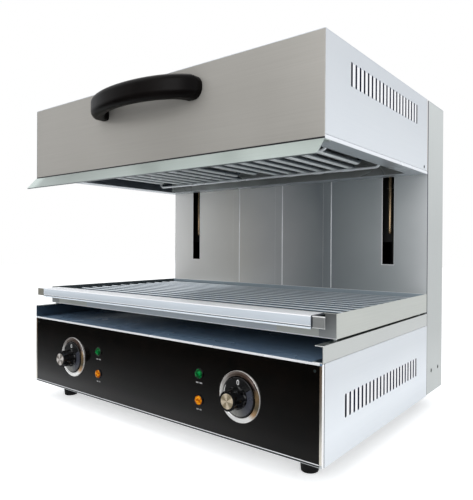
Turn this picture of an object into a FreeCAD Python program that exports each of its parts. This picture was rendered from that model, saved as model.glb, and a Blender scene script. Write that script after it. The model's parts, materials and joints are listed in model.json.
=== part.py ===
"""Cheese melter with a lift-up heating hood over a wire rack and a pull-out tray.

Millimetres, +Z up, +X to the right of someone facing the front, +Y to the back.
The origin is on the table, in the middle of the outline seen from above.
Two arms carry the hood. They pass through slots in the rear column and ride on guide rods.
"""
import FreeCAD, Part
import Sketcher
import math
import os
import re
from FreeCAD import Vector

# Driving sizes
SIZES = {
    # Whole appliance
    "body_width": 600,
    "body_depth": 345,
    "column_depth": 80,
    "sheet": 1.2,
    "feet_height": 28,
    "base_height": 117,
    "rail_height": 20,
    "tray_height": 30,
    "opening_height": 198.2,
    "hood_height": 123,
    "hood_rear_gap": 3,
    "running_gap": 0.3,
    "seam": 0.3,
    "overrun": 5,
    # Base casing
    "panel_sheet": 1.5,
    "sill_height": 3,
    "deck_edge": 2.5,
    "cover_return": 4,
    # Louvres
    "louvre_width": 3.5,
    "base_louvre_start": 53.3,
    "base_louvre_end": 52.93,
    "base_louvre_low": 43.5,
    "base_louvre_length": 28,
    "hood_louvre_start": 63.5,
    "hood_louvre_end": 56.54,
    "hood_louvre_low": 73.5,
    "hood_louvre_length": 29.2,
    # Tray rails and glides
    "rail_flange": 11,
    "rail_foot": 14,
    "glide_radius": 2.5,
    "glide_height": 2.5,
    "glide_inset": 6,
    "glide_front": 38,
    "glide_rear": 25,
    # Rubber feet
    "foot_inset_x": 43,
    "foot_inset_y": 44,
    "foot_top_radius": 13.5,
    "foot_bottom_radius": 11,
    "foot_hole_radius": 4,
    "foot_hole_depth": 6,
    # Knobs, dials and thermostats
    "knob_inset": 119,
    "knob_level": 59,
    "bezel_radius": 32.5,
    "bezel_bore": 26,
    "bezel_depth": 5,
    "bezel_crown": 2,
    "dial_radius": 24.8,
    "dial_gap": 1,
    "dial_thickness": 3,
    "grip_radius": 13.5,
    "grip_length": 20.5,
    "flute_depth": 2.6,
    "cap_radius": 10.5,
    "cap_thickness": 1.5,
    "spindle_radius": 3,
    "spindle_seat": 12,
    "spindle_tail": 12,
    "shaft_hole_radius": 6,
    "thermostat_size": 42,
    "thermostat_depth": 30,
    "shaft_fit": 0.1,
    "seat_fit": 0.05,
    # Signal lamps
    "lamp_inset": 189,
    "green_lamp_level": 77,
    "amber_lamp_level": 41.5,
    "lens_radius": 7.5,
    "lens_shoulder": 1.5,
    "lens_depth": 4.5,
    "lens_crown_radius": 6,
    "lamp_stem_radius": 5,
    "lamp_body_radius": 7,
    "lamp_body_length": 24,
    # Terminal block and cable gland
    "terminal_width": 64,
    "terminal_depth": 22,
    "terminal_height": 24,
    "terminal_side_inset": 180,
    "terminal_rear_inset": 60,
    "gland_inset": 110,
    "gland_level": 45,
    "gland_bore": 4.5,
    "gland_thread_radius": 8,
    "gland_nut_radius": 12,
    "gland_nut_depth": 6,
    "gland_cap_radius": 10.5,
    "gland_reach": 18,
    "gland_tail": 8,
    # Rear column
    "column_return": 12,
    "slot_inset": 69,
    "slot_width": 21,
    "slot_start": 217,
    "slot_end_gap": 3,
    "rib_pitch": 111,
    "rib_width": 18,
    "rib_height": 2,
    # Lift mechanism
    "lift_travel": 165,
    "carriage_drop": 22,
    "plate_setback": 13,
    "plate_width": 48,
    "plate_thickness": 3,
    "plate_tail": 14,
    "arm_thickness": 12,
    "arm_flange_width": 44,
    "arm_flange_thickness": 2,
    "bearing_width": 24,
    "bearing_depth": 24,
    "bearing_height": 24,
    "bush_radius": 9,
    "rod_radius": 6,
    "bracket_width": 40,
    "bracket_depth": 26,
    "bracket_height": 13,
    "spring_radius": 8,
    "spring_wire": 2,
    "spring_offset": 24,
    "spring_lug": 4,
    "bolt_radius": 2.5,
    "bolt_head_radius": 4.5,
    "bolt_head_height": 4,
    "bolt_length": 12,
    "bolt_inset": 18,
    # Thermostat bulbs
    "bulb_radius": 3,
    "bulb_length": 110,
    "bulb_setback": 9,
    "bulb_gap": 5,
    "clip_width": 12,
    "clip_height": 6,
    "low_clip_rise": 13,
    "high_clip_rise": 83,
    # Hood casing
    "frame_border": 27,
    "frame_front": 16,
    "frame_upstand": 5,
    "lip_forward": 18,
    "lip_drop": 20,
    "lip_flange": 14,
    "lip_hem": 3,
    "reflector_height": 42,
    # Heating elements
    "tube_radius": 4,
    "tube_level": 12,
    "tube_inset": 75,
    "tube_middle": 22,
    "tube_front": 52,
    "tube_rear": 51,
    "terminal_rear": 97,
    "terminal_rise": 14,
    "hanger_radius": 2.2,
    "hanger_front": 87,
    "hanger_rear": 84,
    "hanger_inset": 47,
    "hanger_bend": 8,
    # Hood handle
    "handle_half_length": 114,
    "handle_reach": 50,
    "handle_end_radius": 30,
    "handle_inner_half_length": 84,
    "handle_inner_reach": 35,
    "handle_inner_end_radius": 18,
    "handle_height": 32,
    "handle_level": 92,
    "handle_bevel": 6,
    "handle_screw_spread": 99,
    "handle_screw_radius": 3,
    "handle_screw_length": 11,
    "handle_screw_head_radius": 5.5,
    "handle_screw_head_height": 3,
    # Pull-out tray
    "tray_sheet": 1,
    "tray_setback": 31,
    "tray_rear_gap": 2,
    "strip_setback": 3,
    "strip_height": 14,
    "grip_sheet": 2,
    "grip_inset": 19,
    "grip_bead": 2,
    "grip_return": 7,
    # Wire rack
    "wire_radius": 2,
    "wire_first": 43,
    "wire_last": 26,
    "wire_drop": 5,
    "wire_end_gap": 5,
    "carrier_radius": 2.5,
    "carrier_inset": 12,
    "carrier_spread": 100,
    "rack_leg_inset": 30,
}

# How many of each piece a row holds
BASE_LOUVRES = 22
HOOD_LOUVRES = 20
FLUTES = 8
TUBE_RUNS = 8
WIRES = 13

# How many flat sides stand in for the round of wires, screws and hidden holes
WIRE_SIDES = 8
SCREW_SIDES = 8
HOLE_SIDES = 8
CROWN_SIDES = 12
DISC_SIDES = 24
NUT_SIDES = 6

# The share of one flute's turn that its ridge takes
RIDGE_SHARE = 0.42

# Planes and levels worked out from the sizes
PLACES = {
    "half_width": "body_width / 2",
    "knob_centre": "half_width - knob_inset",
    "lamp_centre": "half_width - lamp_inset",
    "terminal_centre": "half_width - terminal_side_inset",
    "gland_centre": "half_width - gland_inset",
    "slot_centre": "half_width - slot_inset",
    "front": "handle_reach - (handle_reach + body_depth + column_depth + gland_reach) / 2",
    "column_front": "front + body_depth",
    "column_rear": "column_front + column_depth",
    "base_bottom": "feet_height",
    "base_top": "base_bottom + base_height",
    "rail_top": "base_top + rail_height",
    "tray_bottom": "rail_top + glide_height + running_gap",
    "tray_top": "tray_bottom + tray_height",
    "tray_front": "front + tray_setback",
    "tray_rear": "column_front - tray_rear_gap",
    "strip_bottom": "tray_top - strip_height",
    "strip_front": "front + strip_setback",
    "hood_bottom": "tray_top + opening_height",
    "hood_top": "hood_bottom + hood_height",
    "hood_rear": "column_front - hood_rear_gap",
    "reflector_top": "hood_bottom + reflector_height",
    "tube_centre": "hood_bottom + tube_level",
    "tube_outer": "half_width - tube_inset",
    "tube_pitch": f"(tube_outer - tube_middle) / {TUBE_RUNS - 1}",
    "tube_near": "front + tube_front",
    "tube_far": "hood_rear - tube_rear",
    "terminal_line": "hood_rear - terminal_rear",
    "hanger_centre": "tube_centre - tube_radius - hanger_radius",
    "hanger_near": "front + hanger_front",
    "hanger_far": "hood_rear - hanger_rear",
    "hanger_reach": "half_width - hanger_inset",
    "handle_centre": "hood_bottom + handle_level",
    "wall_front": "front + panel_sheet",
    "wall_back": "wall_front + sheet",
    "slot_bottom": "base_bottom + slot_start",
    "arm_bottom": "slot_bottom + lift_travel + slot_end_gap",
    "carriage_top": "hood_top - carriage_drop",
    "slot_top": "carriage_top + slot_end_gap",
    "bulb_top": "arm_bottom - bulb_gap",
    "bulb_bottom": "bulb_top - bulb_length",
    "bulb_line": "column_front + bulb_setback",
    "carriage_bottom": "bulb_bottom - plate_tail",
    "plate_front": "column_front + plate_setback",
    "plate_back": "plate_front + plate_thickness",
    "rod_line": "plate_back + bearing_depth / 2",
    "rod_low": "base_bottom + sheet",
    "rod_high": "hood_top - sheet",
    "spring_centre": "slot_centre + spring_offset",
    "spring_low": "carriage_bottom + spring_lug",
    "spring_high": "rod_high - bracket_height",
    "wire_near": "front + wire_first",
    "wire_far": "column_front - wire_last",
    "wire_pitch": f"(wire_far - wire_near) / {WIRES - 1}",
    "wire_level": "tray_top - wire_drop - wire_radius",
    "carrier_level": "wire_level - wire_radius - carrier_radius",
    "knob_height": "base_bottom + knob_level",
    "dial_front": "-(dial_gap + dial_thickness)",
    "grip_front": "dial_front - grip_length",
    "socket_end": "dial_front - spindle_seat",
}

SIDES = {"left": -1, "right": 1}

doc = FreeCAD.newDocument("CheeseMelter")
sub_parts = []


# The sheet of sizes and the set of places

def formula(text):
    """A sum of named sizes and places, written as an expression that objects can hold."""
    def owned(found):
        word = found.group(0)
        if word in SIZES:
            return f"Sizes.{word}"
        if word in PLACES:
            return f"Places.{word}"
        return word
    return re.sub(r"[A-Za-z_][A-Za-z_0-9]*", owned, text)


def bind(thing, formulas):
    for path, text in formulas.items():
        thing.setExpression(path, formula(text))


def make_sheet():
    sheet = doc.addObject("Spreadsheet::Sheet", "Sizes")
    for row, (alias, value) in enumerate(SIZES.items(), start=1):
        sheet.set(f"A{row}", alias)
        sheet.set(f"B{row}", str(value))
        sheet.setAlias(f"B{row}", alias)
    return sheet


def make_places():
    places = doc.addObject("App::VarSet", "Places")
    for name in PLACES:
        places.addProperty("App::PropertyFloat", name, "Places")
    bind(places, PLACES)
    return places


sizes = make_sheet()
places = make_places()
doc.recompute()


def value(name):
    """The number that a size or a place has now."""
    return float(getattr(sizes if name in SIZES else places, name))


# Ways of making a piece

def across(side, text):
    """A distance from the middle plane, to the right for side 1 and to the left for side -1."""
    return f"{side} * ({text})"


def span(side, inner, outer):
    """The low and high X of a stretch between two distances from the middle plane."""
    if side > 0:
        return inner, outer
    return f"-({outer})", f"-({inner})"


def block(name, x, y, z):
    box = doc.addObject("Part::Box", name)
    for axis, edge, (low, high) in zip("xyz", ("Length", "Width", "Height"), (x, y, z)):
        bind(box, {edge: f"({high}) - ({low})", f"Placement.Base.{axis}": low})
    return box


ALONG = {
    "x": FreeCAD.Rotation(Vector(0, 1, 0), 90),
    "y": FreeCAD.Rotation(Vector(1, 0, 0), -90),
    "z": FreeCAD.Rotation(),
}


def laid(thing, direction, x, y, z):
    """Turn a piece's own axis to X, Y or Z and put its start at a place."""
    thing.Placement = FreeCAD.Placement(Vector(), ALONG[direction])
    bind(thing, {"Placement.Base.x": x, "Placement.Base.y": y, "Placement.Base.z": z})
    return thing


def rod(name, direction, radius, length, x, y, z):
    cylinder = doc.addObject("Part::Cylinder", name)
    bind(cylinder, {"Radius": radius, "Height": length})
    return laid(cylinder, direction, x, y, z)


def bar(name, sides, direction, radius, length, x, y, z):
    """A wire, shank or nut with flat sides inside its radius."""
    prism = doc.addObject("Part::Prism", name)
    prism.Polygon = sides
    bind(prism, {"Circumradius": radius, "Height": length})
    return laid(prism, direction, x, y, z)


def wire(name, direction, radius, length, x, y, z):
    return bar(name, WIRE_SIDES, direction, radius, length, x, y, z)


def bore(name, sides, direction, radius, length, x, y, z):
    """A hole whose flat sides all clear a round of its radius."""
    widening = 1 / math.cos(math.pi / sides)
    return bar(name, sides, direction, f"({radius}) * {widening:.6f}", length, x, y, z)


def cut(name, base, tools):
    """One piece with others taken out of it."""
    result = doc.addObject("Part::Cut", name)
    result.Base = base
    result.Tool = joined(name + "_holes", tools) if len(tools) > 1 else tools[0]
    return result


def joined(name, pieces):
    result = doc.addObject("Part::MultiFuse", name)
    result.Shapes = pieces
    result.Refine = True
    return result


def group(name, pieces):
    """Separate solids of one kind, kept as one sub-part."""
    result = doc.addObject("Part::Compound", name)
    result.Links = pieces
    return result


def sub_part(thing, label):
    thing.Label = label
    sub_parts.append(thing)
    return thing


def origin_plane(body, role):
    return next(plane for plane in body.Origin.OriginFeatures if plane.Role == role)


def outline(body, role, corners, offset=None):
    """A closed outline of straight runs on an origin plane, each corner bound to the sizes."""
    sketch = body.newObject("Sketcher::SketchObject", body.Name + "_outline")
    sketch.AttachmentSupport = [(origin_plane(body, role), "")]
    sketch.MapMode = "FlatFace"
    if offset:
        bind(sketch, {"AttachmentOffset.Base.z": offset})
    count = len(corners)
    turns = [2 * math.pi * index / count for index in range(count)]
    reach = value("body_width")
    rough = [Vector(reach * math.cos(turn), reach * math.sin(turn), 0) for turn in turns]
    for index in range(count):
        sketch.addGeometry(Part.LineSegment(rough[index], rough[(index + 1) % count]), False)
    for index in range(count):
        following = (index + 1) % count
        sketch.addConstraint(Sketcher.Constraint("Coincident", index, 2, following, 1))
    for index, corner in enumerate(corners):
        start = rough[index]
        for kind, first, text in zip(("DistanceX", "DistanceY"), (start.x, start.y), corner):
            number = sketch.addConstraint(Sketcher.Constraint(kind, -1, 1, index, 1, first))
            bind(sketch, {f"Constraints[{number}]": text})
    return sketch


def new_body(name):
    return doc.addObject("PartDesign::Body", name)


def extruded(name, role, corners, length, offset=None, both_ways=False):
    """A folded sheet or a bar: one outline pushed out along a straight line."""
    body = new_body(name)
    pad = body.newObject("PartDesign::Pad", name + "_pad")
    pad.Profile = outline(body, role, corners, offset)
    pad.SideType = "Symmetric" if both_ways else "One side"
    bind(pad, {"Length": length})
    return body


def turned(name, role, corners):
    """A turned piece: one outline revolved about Y on the YZ plane, or about Z on the XZ plane."""
    body = new_body(name)
    revolution = body.newObject("PartDesign::Revolution", name + "_turn")
    revolution.Profile = outline(body, role, corners)
    axis = "H_Axis" if role == "YZ_Plane" else "V_Axis"
    revolution.ReferenceAxis = (revolution.Profile[0], [axis])
    revolution.Angle = 360
    return body


def louvres(body, start, row, low, length, number):
    """A row of upright slots through a side sheet."""
    ends = (start, f"{start} + louvre_width")
    levels = (low, f"{low} + {length}")
    sketch = outline(body, "YZ_Plane", [(ends[0], levels[0]), (ends[1], levels[0]),
                                        (ends[1], levels[1]), (ends[0], levels[1])])
    pocket = body.newObject("PartDesign::Pocket", body.Name + "_slot")
    pocket.Profile = sketch
    pocket.Type = "ThroughAll"
    pocket.SideType = "Symmetric"
    pattern = body.newObject("PartDesign::LinearPattern", body.Name + "_slots")
    pattern.Originals = [pocket]
    pattern.Direction = (sketch, ["H_Axis"])
    pattern.Occurrences = number
    bind(pattern, {"Length": row})
    body.Tip = pattern
    return body


# Base casing

def base_tray():
    """Bottom sheet with a sill under the control panel and an upright wall behind it."""
    corners = [
        ("front", "base_bottom"),
        ("column_rear - sheet", "base_bottom"),
        ("column_rear - sheet", "base_bottom + sheet"),
        ("wall_back", "base_bottom + sheet"),
        ("wall_back", "base_top - sheet"),
        ("wall_front", "base_top - sheet"),
        ("wall_front", "base_bottom + sill_height"),
        ("front", "base_bottom + sill_height"),
    ]
    folded = extruded("base_tray_fold", "YZ_Plane", corners, "body_width - 2 * sheet", None, True)
    return sub_part(cut("base_tray_cut", folded, front_holes("base_tray")), "base_tray")


def front_holes(owner):
    """Holes for both thermostat spindles and the four lamp stems."""
    holes = []
    for side_name, side in SIDES.items():
        spots = (("shaft", "shaft_hole_radius", "knob_centre", "knob_level"),
                 ("green", "lamp_stem_radius + seat_fit", "lamp_centre", "green_lamp_level"),
                 ("amber", "lamp_stem_radius + seat_fit", "lamp_centre", "amber_lamp_level"))
        for kind, radius, centre, level in spots:
            holes.append(bore(f"{owner}_{kind}_hole_{side_name}", HOLE_SIDES, "y", radius, "2 * overrun",
                              across(side, centre), "front - overrun", f"base_bottom + {level}"))
    return holes


def control_panel():
    sheet_metal = block("control_panel_sheet",
                        ("-(half_width - cover_return - seam)", "half_width - cover_return - seam"),
                        ("front", "wall_front"),
                        ("base_bottom + sill_height + seam", "base_top - deck_edge - seam"))
    return sub_part(cut("control_panel_cut", sheet_metal, front_holes("control_panel")), "control_panel")


def deck_plate():
    """Top sheet of the base, with its front edge folded down over the control panel."""
    corners = [
        ("front", "base_top - deck_edge"),
        ("wall_front", "base_top - deck_edge"),
        ("wall_front", "base_top - sheet"),
        ("column_front", "base_top - sheet"),
        ("column_front", "base_top"),
        ("front", "base_top"),
    ]
    body = extruded("deck_plate_fold", "YZ_Plane", corners, "2 * (half_width - sheet - seam)", None, True)
    return sub_part(body, "deck_plate")


def side_cover(side_name, side):
    """Louvred side sheet of the base, returned round the front corner between the sill and the deck."""
    corners = [
        (across(side, "half_width"), "front"),
        (across(side, "half_width"), "column_front - seam"),
        (across(side, "half_width - sheet"), "column_front - seam"),
        (across(side, "half_width - sheet"), "front + sheet"),
        (across(side, "half_width - cover_return"), "front + sheet"),
        (across(side, "half_width - cover_return"), "front"),
    ]
    body = extruded(f"side_cover_{side_name}_fold", "XY_Plane", corners,
                    "base_height - seam", "base_bottom")
    louvres(body, "front + base_louvre_start", "body_depth - base_louvre_start - base_louvre_end",
            "base_bottom + base_louvre_low", "base_louvre_length", BASE_LOUVRES)
    ends = (("sill", "base_bottom - overrun", "base_bottom + sill_height + seam"),
            ("deck", "base_top - deck_edge - seam", "base_top + overrun"))
    notches = [block(f"side_cover_{side_name}_{end}_notch",
                     span(side, "half_width - cover_return - overrun", "half_width - sheet"),
                     ("front - overrun", "front + overrun"), (low, high)) for end, low, high in ends]
    return sub_part(cut(f"side_cover_{side_name}_notched", body, notches), f"side_cover_{side_name}")


def tray_rail(side_name, side):
    """Channel that stands on the deck and carries the tray's glides on its top flange."""
    corners = [
        (across(side, "half_width"), "base_top"),
        (across(side, "half_width"), "rail_top"),
        (across(side, "half_width - rail_flange"), "rail_top"),
        (across(side, "half_width - rail_flange"), "rail_top - sheet"),
        (across(side, "half_width - sheet"), "rail_top - sheet"),
        (across(side, "half_width - sheet"), "base_top + sheet"),
        (across(side, "half_width - rail_foot"), "base_top + sheet"),
        (across(side, "half_width - rail_foot"), "base_top"),
    ]
    body = extruded(f"tray_rail_{side_name}_fold", "XZ_Plane", corners,
                    "body_depth - seam", "-column_front + seam")
    return sub_part(body, f"tray_rail_{side_name}")


def tray_glides():
    studs = []
    for side_name, side in SIDES.items():
        for end, y in (("front", "front + glide_front"), ("rear", "column_front - glide_rear")):
            studs.append(bar(f"glide_{end}_{side_name}", SCREW_SIDES, "z", "glide_radius", "glide_height",
                             across(side, "half_width - glide_inset"), y, "rail_top"))
    return sub_part(group("glide_set", studs), "tray_glides")


def feet():
    """Tapered rubber feet, each with the recess of its fixing screw underneath."""
    corners = [
        ("0", "0"),
        ("foot_bottom_radius", "0"),
        ("foot_top_radius", "feet_height"),
        ("0", "feet_height"),
    ]
    pieces = []
    for side_name, side in SIDES.items():
        for end, y in (("front", "front + foot_inset_y"), ("rear", "column_rear - foot_inset_y")):
            name = f"foot_{end}_{side_name}"
            taper = turned(name + "_taper", "XZ_Plane", corners)
            recess = bore(name + "_recess", SCREW_SIDES, "z", "foot_hole_radius", "foot_hole_depth + overrun",
                          "0", "0", "-overrun")
            foot = cut(name, taper, [recess])
            pieces.append(laid_upright(foot, across(side, "half_width - foot_inset_x"), y, "0"))
    return sub_part(group("foot_set", pieces), "feet")


# Knobs, thermostats and lamps

def bezels():
    """Chromed rings round the dials, each with a ridge round its face."""
    corners = [
        ("0", "bezel_bore"),
        ("0", "bezel_radius"),
        ("-(bezel_depth - bezel_crown)", "bezel_radius"),
        ("-bezel_depth", "(bezel_radius + bezel_bore) / 2"),
        ("-(bezel_depth - bezel_crown)", "bezel_bore"),
    ]
    rings = []
    for side_name, side in SIDES.items():
        ring = turned(f"bezel_{side_name}", "YZ_Plane", corners)
        rings.append(laid_upright(ring, across(side, "knob_centre"), "front", "knob_height"))
    return sub_part(group("bezel_pair", rings), "bezels")


def laid_upright(thing, x, y, z):
    """Move a piece to a place without turning it."""
    return laid(thing, "z", x, y, z)


def knob(side_name, side):
    """Dial skirt and fluted grip in one moulding, with a socket for the spindle."""
    name = f"knob_{side_name}"
    skirt = rod(name + "_skirt", "y", "dial_radius", "dial_thickness", "0", "dial_front", "0")
    corners = []
    for index in range(FLUTES):
        for place_share, radius in ((0, "grip_radius"), (RIDGE_SHARE, "grip_radius"),
                                    ((1 + RIDGE_SHARE) / 2, "grip_radius - flute_depth")):
            turn = 2 * math.pi * (index + place_share) / FLUTES
            corners.append((f"({radius}) * {math.cos(turn):.6f}", f"({radius}) * {math.sin(turn):.6f}"))
    grip = extruded(name + "_grip", "XZ_Plane", corners, "grip_length + dial_thickness / 2",
                    "-dial_front - dial_thickness / 2")
    socket = bore(name + "_socket", SCREW_SIDES, "y", "spindle_radius + seat_fit",
                  "overrun - dial_gap - socket_end", "0", "socket_end", "0")
    moulding = cut(name + "_bored", joined(name + "_moulding", [skirt, grip]), [socket])
    laid_upright(moulding, across(side, "knob_centre"), "front", "knob_height")
    return sub_part(moulding, name)


def knob_cap(side_name, side):
    disc = bar(f"knob_cap_{side_name}_disc", DISC_SIDES, "y", "cap_radius", "cap_thickness",
               across(side, "knob_centre"), "front + grip_front - cap_thickness", "knob_height")
    return sub_part(disc, f"knob_cap_{side_name}")


def spindle(side_name, side):
    shaft = rod(f"spindle_{side_name}_shaft", "y", "spindle_radius",
                "panel_sheet + sheet + spindle_tail - socket_end",
                across(side, "knob_centre"), "front + socket_end", "knob_height")
    return sub_part(shaft, f"spindle_{side_name}")


def thermostat(side_name, side):
    """Thermostat body behind the panel, bored for the spindle."""
    half = "thermostat_size / 2"
    body = block(f"thermostat_{side_name}_body",
                 span(side, f"knob_centre - {half}", f"knob_centre + {half}"),
                 ("wall_back", "wall_back + thermostat_depth"),
                 (f"knob_height - {half}", f"knob_height + {half}"))
    shaft_bore = rod(f"thermostat_{side_name}_bore", "y", "spindle_radius + shaft_fit",
                     "spindle_tail + running_gap + overrun", across(side, "knob_centre"),
                     "wall_back - overrun", "knob_height")
    return sub_part(cut(f"thermostat_{side_name}_cut", body, [shaft_bore]), f"thermostat_{side_name}")


def lamp_lenses(colour, level):
    """Lens of one colour at both ends of the panel: a round rim and a faceted crown."""
    lenses = []
    for side_name, side in SIDES.items():
        name = f"{colour}_lens_{side_name}"
        x = across(side, "lamp_centre")
        z = f"base_bottom + {level}"
        rim = rod(name + "_rim", "y", "lens_radius", "lens_shoulder", x, "front - lens_shoulder", z)
        crown = bar(name + "_crown", CROWN_SIDES, "y", "lens_crown_radius", "lens_depth",
                    x, "front - lens_depth", z)
        lenses.append(joined(name, [rim, crown]))
    return sub_part(group(f"{colour}_lens_pair", lenses), f"{colour}_lamp_lenses")


def lamp_bodies():
    """Lamp holders: a stem through the panel behind each lens, and a wider body behind the wall."""
    bodies = []
    for side_name, side in SIDES.items():
        x = across(side, "lamp_centre")
        for colour in ("green", "amber"):
            name = f"{colour}_lamp_{side_name}"
            z = f"base_bottom + {colour}_lamp_level"
            stem = bar(name + "_stem", HOLE_SIDES, "y", "lamp_stem_radius", "panel_sheet + sheet + overrun",
                       x, "front", z)
            body = bar(name + "_body", HOLE_SIDES, "y", "lamp_body_radius", "lamp_body_length",
                       x, "wall_back", z)
            bodies.append(joined(name, [stem, body]))
    return sub_part(group("lamp_body_set", bodies), "lamp_bodies")


def terminal_block():
    middle = "column_rear - terminal_rear_inset"
    body = block("terminal_block_body",
                 ("terminal_centre - terminal_width / 2", "terminal_centre + terminal_width / 2"),
                 (f"{middle} - terminal_depth / 2", f"{middle} + terminal_depth / 2"),
                 ("base_bottom + sheet", "base_bottom + sheet + terminal_height"))
    return sub_part(body, "terminal_block")


def cable_gland():
    """Screwed gland through the rear cover: thread, nut and clamping cap, bored right through."""
    x = "gland_centre"
    z = "base_bottom + gland_level"
    thread = bar("gland_thread", HOLE_SIDES, "y", "gland_thread_radius", "sheet + gland_tail",
                 x, "column_rear - sheet - gland_tail", z)
    nut = bar("gland_nut", NUT_SIDES, "y", "gland_nut_radius", "gland_nut_depth", x, "column_rear", z)
    cap = bar("gland_cap", CROWN_SIDES, "y", "gland_cap_radius", "gland_reach", x, "column_rear", z)
    mouth = rod("gland_mouth", "y", "gland_bore", "sheet + gland_tail + gland_reach + 2 * overrun",
                x, "column_rear - sheet - gland_tail - overrun", z)
    return sub_part(cut("gland_bored", joined("gland_solid", [thread, nut, cap]), [mouth]), "cable_gland")


# Rear column

def column_side(side_name, side):
    """Upright side sheet of the column, returned inwards behind the front and rear panels."""
    corners = [
        (across(side, "half_width"), "column_front"),
        (across(side, "half_width"), "column_rear"),
        (across(side, "half_width - sheet"), "column_rear"),
        (across(side, "half_width - sheet"), "column_rear - sheet"),
        (across(side, "half_width - column_return"), "column_rear - sheet"),
        (across(side, "half_width - column_return"), "column_rear - 2 * sheet"),
        (across(side, "half_width - sheet"), "column_rear - 2 * sheet"),
        (across(side, "half_width - sheet"), "column_front + 2 * sheet"),
        (across(side, "half_width - column_return"), "column_front + 2 * sheet"),
        (across(side, "half_width - column_return"), "column_front + sheet"),
        (across(side, "half_width - sheet"), "column_front + sheet"),
        (across(side, "half_width - sheet"), "column_front"),
    ]
    body = extruded(f"column_side_{side_name}_fold", "XY_Plane", corners,
                    "hood_top - sheet - base_bottom - sheet", "base_bottom + sheet")
    return sub_part(body, f"column_side_{side_name}")


def column_front_panel():
    """Back wall of the grill space, with pressed ribs and the slots that the hood's arms pass through."""
    across_panel = ("-(half_width - sheet)", "half_width - sheet")
    upright = ("base_top", "hood_top - sheet")
    sheet_metal = block("column_front_sheet", across_panel, ("column_front", "column_front + sheet"), upright)
    ribs = []
    for index in (-1, 0, 1):
        middle = f"{index} * rib_pitch"
        ribs.append(block(f"column_rib_{index + 1}",
                          (f"{middle} - rib_width / 2", f"{middle} + rib_width / 2"),
                          ("column_front - rib_height", "column_front"),
                          ("tray_top + running_gap", "hood_top - sheet")))
    slots = []
    for side_name, side in SIDES.items():
        slots.append(block(f"column_slot_{side_name}",
                           span(side, "slot_centre - slot_width / 2", "slot_centre + slot_width / 2"),
                           ("column_front - overrun", "column_front + overrun"),
                           ("slot_bottom", "slot_top")))
    pressed = joined("column_front_pressed", [sheet_metal] + ribs)
    return sub_part(cut("column_front_cut", pressed, slots), "column_front_panel")


def column_rear_cover():
    sheet_metal = block("column_rear_sheet", ("-(half_width - sheet)", "half_width - sheet"),
                        ("column_rear - sheet", "column_rear"), ("base_bottom + sheet", "hood_top - sheet"))
    hole = bore("column_rear_hole", HOLE_SIDES, "y", "gland_thread_radius + seat_fit", "2 * overrun",
                "gland_centre", "column_rear - overrun", "base_bottom + gland_level")
    return sub_part(cut("column_rear_cut", sheet_metal, [hole]), "column_rear_cover")


def column_top_cap():
    cap = block("column_top_sheet", ("-half_width", "half_width"), ("column_front", "column_rear"),
                ("hood_top - sheet", "hood_top"))
    return sub_part(cap, "column_top_cap")


# Lift mechanism

def guide_rod(side_name, side):
    shaft = rod(f"guide_rod_{side_name}_shaft", "z", "rod_radius", "rod_high - rod_low",
                across(side, "slot_centre"), "rod_line", "rod_low")
    return sub_part(shaft, f"guide_rod_{side_name}")


def rod_brackets(level_name, low, high):
    """Blocks that hold the ends of both guide rods; the upper pair also holds the springs."""
    brackets = []
    for side_name, side in SIDES.items():
        edges = span(side, "slot_centre - bracket_width / 2", "spring_centre + spring_radius + spring_wire")
        name = f"{level_name}_bracket_{side_name}"
        body = block(name, edges,
                     ("rod_line - bracket_depth / 2", "rod_line + bracket_depth / 2"), (low, high))
        rod_hole = bore(name + "_bore", HOLE_SIDES, "z", "rod_radius + seat_fit",
                        "bracket_height + 2 * overrun", across(side, "slot_centre"), "rod_line",
                        f"{low} - overrun")
        brackets.append(cut(name + "_cut", body, [rod_hole]))
    return sub_part(group(f"{level_name}_bracket_pair", brackets), f"{level_name}_rod_brackets")


def carriage(side_name, side):
    """Upright plate with two bored bearing blocks, the arm through the slot and the hood's flange."""
    centre = "slot_centre"
    name = f"carriage_{side_name}"
    pieces = [
        block(name + "_plate", span(side, f"{centre} - plate_width / 2", "spring_centre + spring_radius"),
              ("plate_front", "plate_back"), ("carriage_bottom", "carriage_top")),
        block(name + "_arm", span(side, f"{centre} - arm_thickness / 2", f"{centre} + arm_thickness / 2"),
              ("hood_rear + arm_flange_thickness", "plate_front"), ("arm_bottom", "carriage_top")),
        block(name + "_flange",
              span(side, f"{centre} - arm_flange_width / 2", f"{centre} + arm_flange_width / 2"),
              ("hood_rear", "hood_rear + arm_flange_thickness"), ("arm_bottom", "carriage_top")),
        block(name + "_lug", span(side, "spring_centre - spring_radius", "spring_centre + spring_radius"),
              ("plate_back", "rod_line + spring_radius"), ("carriage_bottom", "spring_low")),
    ]
    for level, low in bearing_levels():
        pieces.append(block(f"{name}_{level}_bearing",
                            span(side, f"{centre} - bearing_width / 2", f"{centre} + bearing_width / 2"),
                            ("plate_back", "plate_back + bearing_depth"), (low, f"{low} + bearing_height")))
    holes = []
    for level, low in bearing_levels():
        holes.append(bore(f"{name}_{level}_bore", HOLE_SIDES, "z", "bush_radius + seat_fit",
                          "bearing_height + 2 * overrun", across(side, centre), "rod_line",
                          f"{low} - overrun"))
    for level, height in bolt_levels():
        holes.append(bore(f"{name}_{level}_bolt_hole", SCREW_SIDES, "y", "bolt_radius + seat_fit",
                          "bolt_length + overrun", across(side, centre), "hood_rear - overrun", height))
    return sub_part(cut(name + "_cut", joined(name + "_frame", pieces), holes), name)


def bearing_levels():
    return (("low", "carriage_bottom + spring_lug + plate_tail"),
            ("high", "carriage_top - bearing_height - spring_lug"))


def bolt_levels():
    return (("low", "arm_bottom + bolt_inset"), ("high", "carriage_top - bolt_inset"))


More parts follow.
